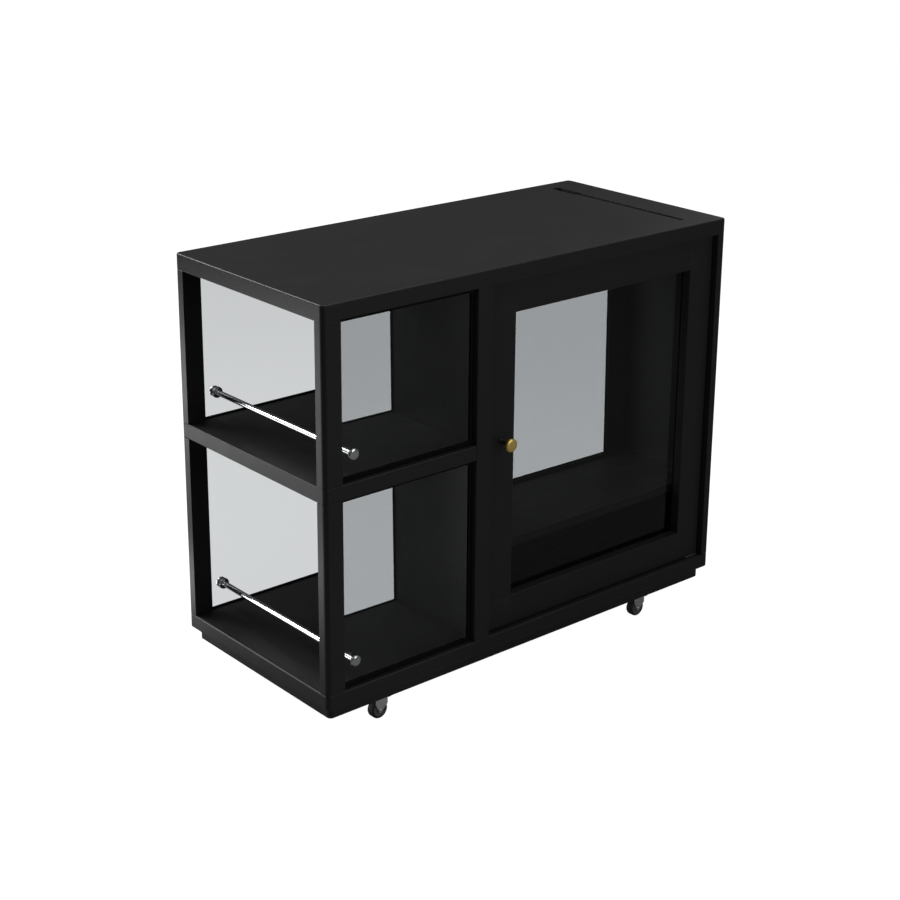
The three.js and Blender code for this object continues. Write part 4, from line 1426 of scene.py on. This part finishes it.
@dataclass
class CarcassFittings:
    """The pivot plates and the magnetic catch, which are fixed to the carcass."""

    finishes: Finishes
    pin_radius: float = 3.0 * MM
    corner_radius: float = 5.0 * MM
    plate_thickness: float = 1.2 * MM
    screw_radius: float = 1.6 * MM
    screw_insets: tuple[float, float] = (5.0 * MM, 15.0 * MM)
    pole_width: float = 1.6 * MM
    pole_insets: tuple[float, float] = (3.4 * MM, 5.0 * MM)

    def build(self) -> None:
        """Builds both pivot plates and the magnet."""
        self.build_pivot_plate("top", -1.0)
        self.build_pivot_plate("bottom", 1.0)
        self.build_magnet()

    def build_pivot_plate(self, end: str, outward: float) -> None:
        """Builds a plate with rounded corners, its pin and its two screw heads.

        Args:
            end: top or bottom.
            outward: the way, 1 or -1, in which its pin points along Z.
        """
        node = f"pivot_plate_{end}"
        low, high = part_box(node)
        plate_low, plate_high = low.copy(), high.copy()
        if outward < 0:
            plate_low.z = high.z - self.plate_thickness
        else:
            plate_high.z = low.z + self.plate_thickness
        plate = Bench.block(plate_low, plate_high)
        Bench.round_edges(plate, self.corner_radius, 5, Bench.along(Axis.Z))
        Bench.soften(plate, 0.25 * MM, 2)
        face = plate_low.z if outward < 0 else plate_high.z
        tip = low.z if outward < 0 else high.z
        pivot_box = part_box(f"pivot_bush_{end}")
        pivot = (pivot_box[0] + pivot_box[1]) / 2
        reach = abs(tip - face)
        pin = Bench.turn(
            [
                (self.pin_radius, -0.8 * MM * outward),
                (self.pin_radius, outward * (reach - 0.8 * MM)),
                (self.pin_radius - 0.7 * MM, outward * reach),
            ],
            (pivot.x, pivot.y, face),
            Axis.Z,
            32,
        )
        heads = [
            screw_head((plate_low.x + inset, pivot.y, face), Axis.Z, outward, self.screw_radius)
            for inset in self.screw_insets
        ]
        whole = Bench.close(Bench.join(plate, pin, *heads))
        fit_out(whole, f"{node}_pressed", "carcass", Slot.ZINC, self.finishes.zinc, [node])

    def build_magnet(self) -> None:
        """Builds the nylon case of the magnetic catch and its two steel pole plates."""
        low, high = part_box("catch_magnet")
        case = Bench.block(low, high)
        Bench.round_edges(case, 1.2 * MM, 3)

        def is_front(_middle: Vector, normal: Vector) -> bool:
            """True for the face towards the door."""
            return normal.y < -0.95

        Bench.select_faces(case, is_front)
        bpy.ops.mesh.inset(thickness=1.6 * MM, use_even_offset=True)
        bpy.ops.mesh.extrude_region_move(TRANSFORM_OT_translate={"value": (0.0, 0.8 * MM, 0.0)})
        Bench.close_mesh()
        Bench.close(case)
        fit_out(case, "catch_case", "carcass", Slot.NYLON, self.finishes.nylon, ["catch_magnet"])
        poles = []
        left_inset, right_inset = self.pole_insets
        for x in (low.x + left_inset, high.x - right_inset):
            pole_low = (x, low.y + 0.1 * MM, low.z + 5.0 * MM)
            pole = Bench.block(pole_low, (x + self.pole_width, low.y + 4.0 * MM, high.z - 5.0 * MM))
            poles.append(Bench.round_edges(pole, 0.3 * MM, 2))
        plates = Bench.close(Bench.join(*poles))
        fit_out(plates, "catch_poles", "carcass", Slot.ZINC, self.finishes.zinc)


@dataclass
class Casters:
    """Four swivel casters: one is modelled with its swivel axis at the origin, then copied."""

    finishes: Finishes
    trail: float = 19.0 * MM
    wheel_radius: float = 20.0 * MM
    wheel_width: float = 18.0 * MM
    rim_radius: float = 14.6 * MM
    fork_sheet: float = 2.0 * MM
    fork_gap: float = 1.0 * MM
    boss_radius: float = 5.6 * MM
    nose: float = 12.0 * MM
    heel: float = 18.0 * MM
    nose_height: float = 13.0 * MM
    heel_height: float = 11.0 * MM
    crown_radius: float = 16.0 * MM
    crown_bottom: float = 45.3 * MM
    race_radius: float = 14.0 * MM
    plate_corner: float = 5.0 * MM
    plate_thickness: float = 2.5 * MM
    screw_radius: float = 3.0 * MM
    screw_inset_x: float = 6.0 * MM
    screw_inset_y: float = 5.0 * MM
    places: tuple[str, ...] = ("front_left", "front_right", "back_left", "back_right")

    def build(self) -> None:
        """Models one caster and sets a copy of it under each corner."""
        swivel = self.swivel_centre("front_left")
        patterns = {
            "plate": (self.model_plate(swivel), "carcass", Slot.ZINC, self.finishes.zinc),
            "fork": (self.model_fork(), "swivel", Slot.ZINC, self.finishes.zinc),
            "axle": (self.model_axle(), "swivel", Slot.ZINC, self.finishes.zinc),
            "wheel": (self.model_tyre(), "wheel", Slot.TYRE, self.finishes.tyre),
            "hub": (self.model_hub(), "wheel", Slot.NYLON, self.finishes.nylon),
        }
        for place in self.places:
            centre = self.swivel_centre(place)
            for part, (pattern, body, slot, finish) in patterns.items():
                copy = Bench.copy(pattern, centre)
                carrier = body if body == "carcass" else f"{body}_{place}"
                nodes = [f"caster_{part}_{place}"] if part != "hub" else []
                fit_out(copy, f"caster_{part}_{place}_fine", carrier, slot, finish, nodes)
        for pattern, *_rest in patterns.values():
            bpy.data.objects.remove(pattern, do_unlink=True)

    def swivel_centre(self, place: str) -> Vector:
        """The swivel axis of one caster, on the floor."""
        low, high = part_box(f"caster_plate_{place}")
        return Vector(((low.x + high.x) / 2, (low.y + high.y) / 2, 0.0))

    def model_plate(self, centre: Vector) -> bpy.types.Object:
        """Models the mounting plate, its four screws, the ball race and the king pin.

        Args:
            centre: the swivel axis, on the floor.

        Returns:
            The plate, about the swivel axis at the origin.
        """
        low, high = (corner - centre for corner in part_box("caster_plate_front_left"))
        under = high.z - self.plate_thickness
        plate = Bench.block((low.x, low.y, under), high)
        Bench.round_edges(plate, self.plate_corner, 6, Bench.along(Axis.Z))
        Bench.soften(plate, 0.5 * MM, 2)
        race = self.race_radius
        race_bottom = under - 4.0 * MM
        profile = [
            (race - 3.0 * MM, under + 1.0 * MM),
            (race, under + 0.5 * MM),
            (race, race_bottom + 2.4 * MM),
            (race - 0.5 * MM, race_bottom + 2.0 * MM),
            (race - 0.1 * MM, race_bottom + 1.5 * MM),
            (race - 0.8 * MM, race_bottom + 0.4 * MM),
            (race - 1.8 * MM, race_bottom),
            (3.0 * MM, race_bottom),
            (3.0 * MM, low.z + 2.0 * MM),
            (5.5 * MM, low.z + 2.0 * MM),
            (5.5 * MM, low.z + 1.0 * MM),
            (4.6 * MM, low.z + 0.3 * MM),
            (3.0 * MM, low.z),
        ]
        stack = Bench.turn(profile, (0, 0, 0), Axis.Z, 48)
        heads = [
            screw_head((x, y, under), Axis.Z, -1.0, self.screw_radius)
            for x in (low.x + self.screw_inset_x, high.x - self.screw_inset_x)
            for y in (low.y + self.screw_inset_y, high.y - self.screw_inset_y)
        ]
        return Bench.close(Bench.join(plate, stack, *heads))

    def model_leg(self, outside_y: float, inside_y: float) -> bpy.types.Object:
        """Models one fork leg: a disc at the axle whose upper half is drawn out to a broad plate.

        Args:
            outside_y: the leg's outer face along Y.
            inside_y: the leg's inner face along Y.

        Returns:
            The leg.
        """
        Bench.clear_selection()
        sides, steps = 48, 8
        bpy.ops.mesh.primitive_circle_add(vertices=sides, radius=self.boss_radius, fill_type="NGON")
        leg = bpy.context.active_object
        leg.rotation_euler = Euler((math.pi / 2, 0.0, 0.0))
        leg.location = (-self.trail, outside_y, self.wheel_radius)
        Bench.bake_place(leg)
        crown = self.crown_bottom + 1.4 * MM
        heel, nose = self.heel - self.trail, -self.nose - self.trail
        corners = [
            Vector((heel, outside_y, self.wheel_radius + self.heel_height)),
            Vector((heel, outside_y, crown)),
            Vector((nose, outside_y, crown)),
            Vector((nose, outside_y, self.wheel_radius + self.nose_height)),
        ]
        for corner in leg.data.vertices:
            angle = math.atan2(corner.co.z - self.wheel_radius, corner.co.x + self.trail)
            step = round(angle / (2 * math.pi) * sides)
            if 0 <= step <= 3 * steps:
                stretch = min(step // steps, 2)
                share = step / steps - stretch
                corner.co = corners[stretch].lerp(corners[stretch + 1], share)
        Bench.open_mesh(leg)
        bpy.ops.mesh.extrude_region_move(TRANSFORM_OT_translate={"value": (0.0, inside_y - outside_y, 0.0)})
        Bench.close_mesh()
        Bench.soften(leg, 0.45 * MM, 2)
        return leg

    def model_fork(self) -> bpy.types.Object:
        """Models the swivel fork: a pressed crown with a rolled rim, and two legs.

        Returns:
            The fork, about the swivel axis at the origin.
        """
        inner = self.wheel_width / 2 + self.fork_gap
        outer = inner + self.fork_sheet
        legs = [self.model_leg(-outer, -inner), self.model_leg(outer, inner)]
        radius, bottom = self.crown_radius, self.crown_bottom
        profile = [
            (3.4 * MM, bottom),
            (radius - 1.2 * MM, bottom),
            (radius - 0.3 * MM, bottom + 0.3 * MM),
            (radius, bottom + 1.0 * MM),
            (radius - 0.3 * MM, bottom + 1.7 * MM),
            (radius - 1.2 * MM, bottom + 2.0 * MM),
            (3.4 * MM, bottom + 2.0 * MM),
        ]
        crown = Bench.turn(profile, (0, 0, 0), Axis.Z, 56)
        side = outer - 0.2 * MM
        front, back = -self.trail - self.nose, -self.trail + self.heel
        bridge = Bench.block((front, -side, bottom), (back, side, bottom + 1.5 * MM))
        Bench.round_edges(bridge, 0.4 * MM, 2)
        return Bench.close(Bench.join(crown, bridge, *legs))

    def model_axle(self) -> bpy.types.Object:
        """Models the riveted axle with a domed head outside each leg.

        Returns:
            The axle.
        """
        shoulder = self.wheel_width / 2 + self.fork_gap + self.fork_sheet + JOINT
        end = shoulder + 1.5 * MM
        head = [(1.6, 0.0), (3.0, 0.25), (4.0, 0.8), (4.5, 1.5)]
        near = [(radius * MM, -end + rise * MM) for radius, rise in head]
        far = [(radius * MM, end - rise * MM) for radius, rise in reversed(head)]
        profile = [*near, (3.0 * MM, -shoulder), (3.0 * MM, shoulder), *far]
        centre = (-self.trail, 0.0, self.wheel_radius)
        return Bench.close(Bench.turn(profile, centre, Axis.Y, 40), 35.0)

    def model_tyre(self) -> bpy.types.Object:
        """Models the soft tyre: a rounded tread on a bore that grips the hub.

        Returns:
            The tyre.
        """
        half, radius, rim = self.wheel_width / 2, self.wheel_radius, self.rim_radius
        side = [
            (rim, half - 0.4 * MM),
            (rim + 0.6 * MM, half),
            (radius - 3.2 * MM, half),
            (radius - 1.9 * MM, half - 0.35 * MM),
            (radius - 0.8 * MM, half - 1.2 * MM),
            (radius - 0.2 * MM, half - 2.4 * MM),
            (radius, half - 3.6 * MM),
        ]
        profile = [(size, -reach) for size, reach in side] + list(reversed(side))
        return self.ring(profile, 64)

    def model_hub(self) -> bpy.types.Object:
        """Models the nylon hub: a rim, a dished web with a raised ring, and a boss at the axle.

        Returns:
            The hub.
        """
        half, rim = self.wheel_width / 2, self.rim_radius
        side = [
            (3.5 * MM, half),
            (5.6 * MM, half),
            (6.0 * MM, half - 0.4 * MM),
            (6.3 * MM, half - 1.9 * MM),
            (8.2 * MM, half - 2.1 * MM),
            (8.6 * MM, half - 1.3 * MM),
            (10.0 * MM, half - 1.3 * MM),
            (10.4 * MM, half - 2.1 * MM),
            (12.2 * MM, half - 2.0 * MM),
            (12.7 * MM, half - 0.5 * MM),
            (13.2 * MM, half - 0.1 * MM),
            (rim - 0.4 * MM, half - 0.1 * MM),
            (rim - 0.1 * MM, half - 0.5 * MM),
        ]
        profile = side + [(size, -reach) for size, reach in reversed(side)]
        return self.ring(profile, 56)

    def ring(self, profile: Outline, sides: int) -> bpy.types.Object:
        """Spins a closed outline, given as radius and width, about the axle.

        Args:
            profile: the outline's corners in order.
            sides: how many steps the ring has.

        Returns:
            The ring, round the axle.
        """
        Bench.clear_selection()
        bpy.ops.mesh.primitive_circle_add(vertices=len(profile), radius=1.0, fill_type="NOTHING")
        part = bpy.context.active_object
        for corner, (radius, reach) in zip(part.data.vertices, profile):
            corner.co = (radius - self.trail, reach, self.wheel_radius)
        Bench.open_mesh(part, "VERT")
        bpy.ops.mesh.spin(
            steps=sides,
            angle=2 * math.pi,
            center=(-self.trail, 0.0, self.wheel_radius),
            axis=(0.0, 1.0, 0.0),
        )
        Bench.close_mesh()
        return Bench.close(part, 38.0)


# ---------------------------------------------------------------------------------------------
# Studio
# ---------------------------------------------------------------------------------------------


@dataclass
class Studio:
    """Floor, surroundings, soft lights and camera."""

    camera_place: Point = (-2.4419, -2.8177, 1.8432)
    camera_azimuth: float = 40.448
    camera_elevation: float = 18.240
    camera_roll: float = 0.443
    lens: float = 73.06
    shift_up: float = -0.0889
    sensor_width: float = 36.0
    floor_size: float = 120.0
    floor_drop: float = 0.2 * MM
    floor_glow: float = 0.99
    fill_strength: float = 0.09

    def build(self) -> None:
        """Sets up everything round the cart."""
        self.build_floor()
        self.build_surroundings()
        self.build_lights()
        self.build_camera()

    @staticmethod
    def seen_or_lit(sketch: Sketch, seen: object, lit: object) -> bpy.types.NodeSocket:
        """Mixes what is seen directly or through glass with what lights the cart.

        Args:
            sketch: the sketch of the tree.
            seen: the colour that is seen directly or through glass.
            lit: the colour that lights the cart.

        Returns:
            The mixed colour's socket.
        """
        path = sketch.add("ShaderNodeLightPath")
        bounced = sketch.math("ADD", path.outputs["Diffuse Depth"], path.outputs["Glossy Depth"])
        return sketch.blend(sketch.math("GREATER_THAN", bounced, 0.5), seen, lit)

    def build_floor(self) -> None:
        """Lays a plain pale floor that meets the surroundings without a line."""
        Bench.clear_selection()
        bpy.ops.mesh.primitive_plane_add(size=self.floor_size, location=(0.0, 0.0, -self.floor_drop))
        floor = bpy.context.active_object
        floor.name = "studio_floor"
        material, sketch, skin = new_material("pale_floor")
        pale = self.seen_or_lit(sketch, (0.16, 0.16, 0.16, 1.0), (0.10, 0.10, 0.10, 1.0))
        sketch.feed(skin.inputs["Base Color"], pale)
        glow = self.seen_or_lit(sketch, (1.0, 1.0, 1.0, 1.0), (0.03, 0.03, 0.03, 1.0))
        sketch.feed(skin.inputs["Emission Color"], glow)
        skin.inputs["Emission Strength"].default_value = self.floor_glow
        skin.inputs["Roughness"].default_value = 0.9
        skin.inputs["Specular IOR Level"].default_value = 0.1
        floor.data.materials.append(material)

    def build_surroundings(self) -> None:
        """Sets a white backdrop whose light on the cart is weaker than it looks."""
        world = bpy.data.worlds.new("studio")
        world.use_nodes = True
        bpy.context.scene.world = world
        sketch = Sketch(world.node_tree)
        back = world.node_tree.nodes["Background"]
        lit = (*[self.fill_strength] * 3, 1.0)
        sketch.feed(back.inputs["Color"], self.seen_or_lit(sketch, (1.0, 1.0, 1.0, 1.0), lit))
        back.inputs["Strength"].default_value = 1.0

    def build_lights(self) -> None:
        """Sets the lights: two low panels at the left, a rim softbox, one overhead and two fills."""
        self.softbox("low_left_panel", (-1.35, 1.05, 0.16), (-0.55, 0.0, 0.4), (1.4, 0.5), 7.0)
        self.softbox("foot_panel", (-0.90, 0.32, 0.05), (-0.55, -0.1, 0.1), (1.1, 0.16), 1.5)
        self.softbox("rim_softbox", (-1.6, 2.9, 2.7), (-0.3, 0.0, 0.7), (1.6, 1.8), 120.0)
        self.softbox("overhead_softbox", (0.2, -0.3, 3.4), (0.0, 0.0, 0.8), (3.0, 3.0), 46.0)
        self.softbox("right_fill", (3.6, 0.9, 1.7), (0.5, 0.0, 0.5), (2.0, 2.0), 16.0)
        self.softbox("front_fill", (0.9, -4.2, 2.0), (0.2, 0.0, 0.5), (2.0, 2.0), 35.0)

    @staticmethod
    def softbox(name: str, place: Point, target: Point, size: tuple[float, float], power: float) -> None:
        """Hangs one softbox that faces a target and isn't seen itself.

        Args:
            name: the lamp's name.
            place: its middle.
            target: the point that it faces.
            size: its two side lengths.
            power: its power in watts.
        """
        Bench.clear_selection()
        bpy.ops.object.light_add(type="AREA", location=place)
        lamp = bpy.context.active_object
        lamp.name = name
        lamp.data.shape = "RECTANGLE"
        lamp.data.size, lamp.data.size_y = size
        lamp.data.energy = power
        lamp.rotation_euler = (Vector(target) - Vector(place)).to_track_quat("-Z", "Y").to_euler()
        lamp.visible_camera = False
        lamp.visible_transmission = False

    def build_camera(self) -> None:
        """Sets the camera by its place, direction, roll, lens and shift."""
        bpy.ops.object.camera_add(location=self.camera_place)
        camera = bpy.context.active_object
        camera.name = "view_camera"
        azimuth, elevation = math.radians(self.camera_azimuth), math.radians(self.camera_elevation)
        ahead = math.cos(elevation)
        look = Vector((math.sin(azimuth) * ahead, math.cos(azimuth) * ahead, -math.sin(elevation)))
        level = Vector((math.cos(azimuth), -math.sin(azimuth), 0.0))
        above = level.cross(look)
        roll = math.radians(self.camera_roll)
        right = math.cos(roll) * level + math.sin(roll) * above
        up = right.cross(look)
        turned = Matrix((right, up, -look)).transposed()
        camera.rotation_euler = turned.to_euler()
        camera.data.lens = self.lens
        camera.data.sensor_width = self.sensor_width
        camera.data.shift_y = self.shift_up
        camera.data.clip_end = 2.0 * self.floor_size
        bpy.context.scene.camera = camera


def main() -> None:
    """Builds the studio and every sub-assembly."""
    logging.basicConfig(level=logging.INFO, format="%(name)s: %(message)s")
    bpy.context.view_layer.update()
    bpy.context.scene.view_settings.view_transform = "Standard"
    Bench.clear_selection()
    Studio().build()
    finishes = Finishes()
    assemblies = [
        Carcass(finishes),
        CabinetShelf(finishes),
        Glazing(finishes),
        GuardRail(finishes, Level.LOWER),
        GuardRail(finishes, Level.UPPER),
        Door(finishes),
        CarcassFittings(finishes),
        Casters(finishes),
    ]
    for assembly in assemblies:
        log.info("building %s", type(assembly).__name__)
        assembly.build()


if __name__ == "__main__":
    main()
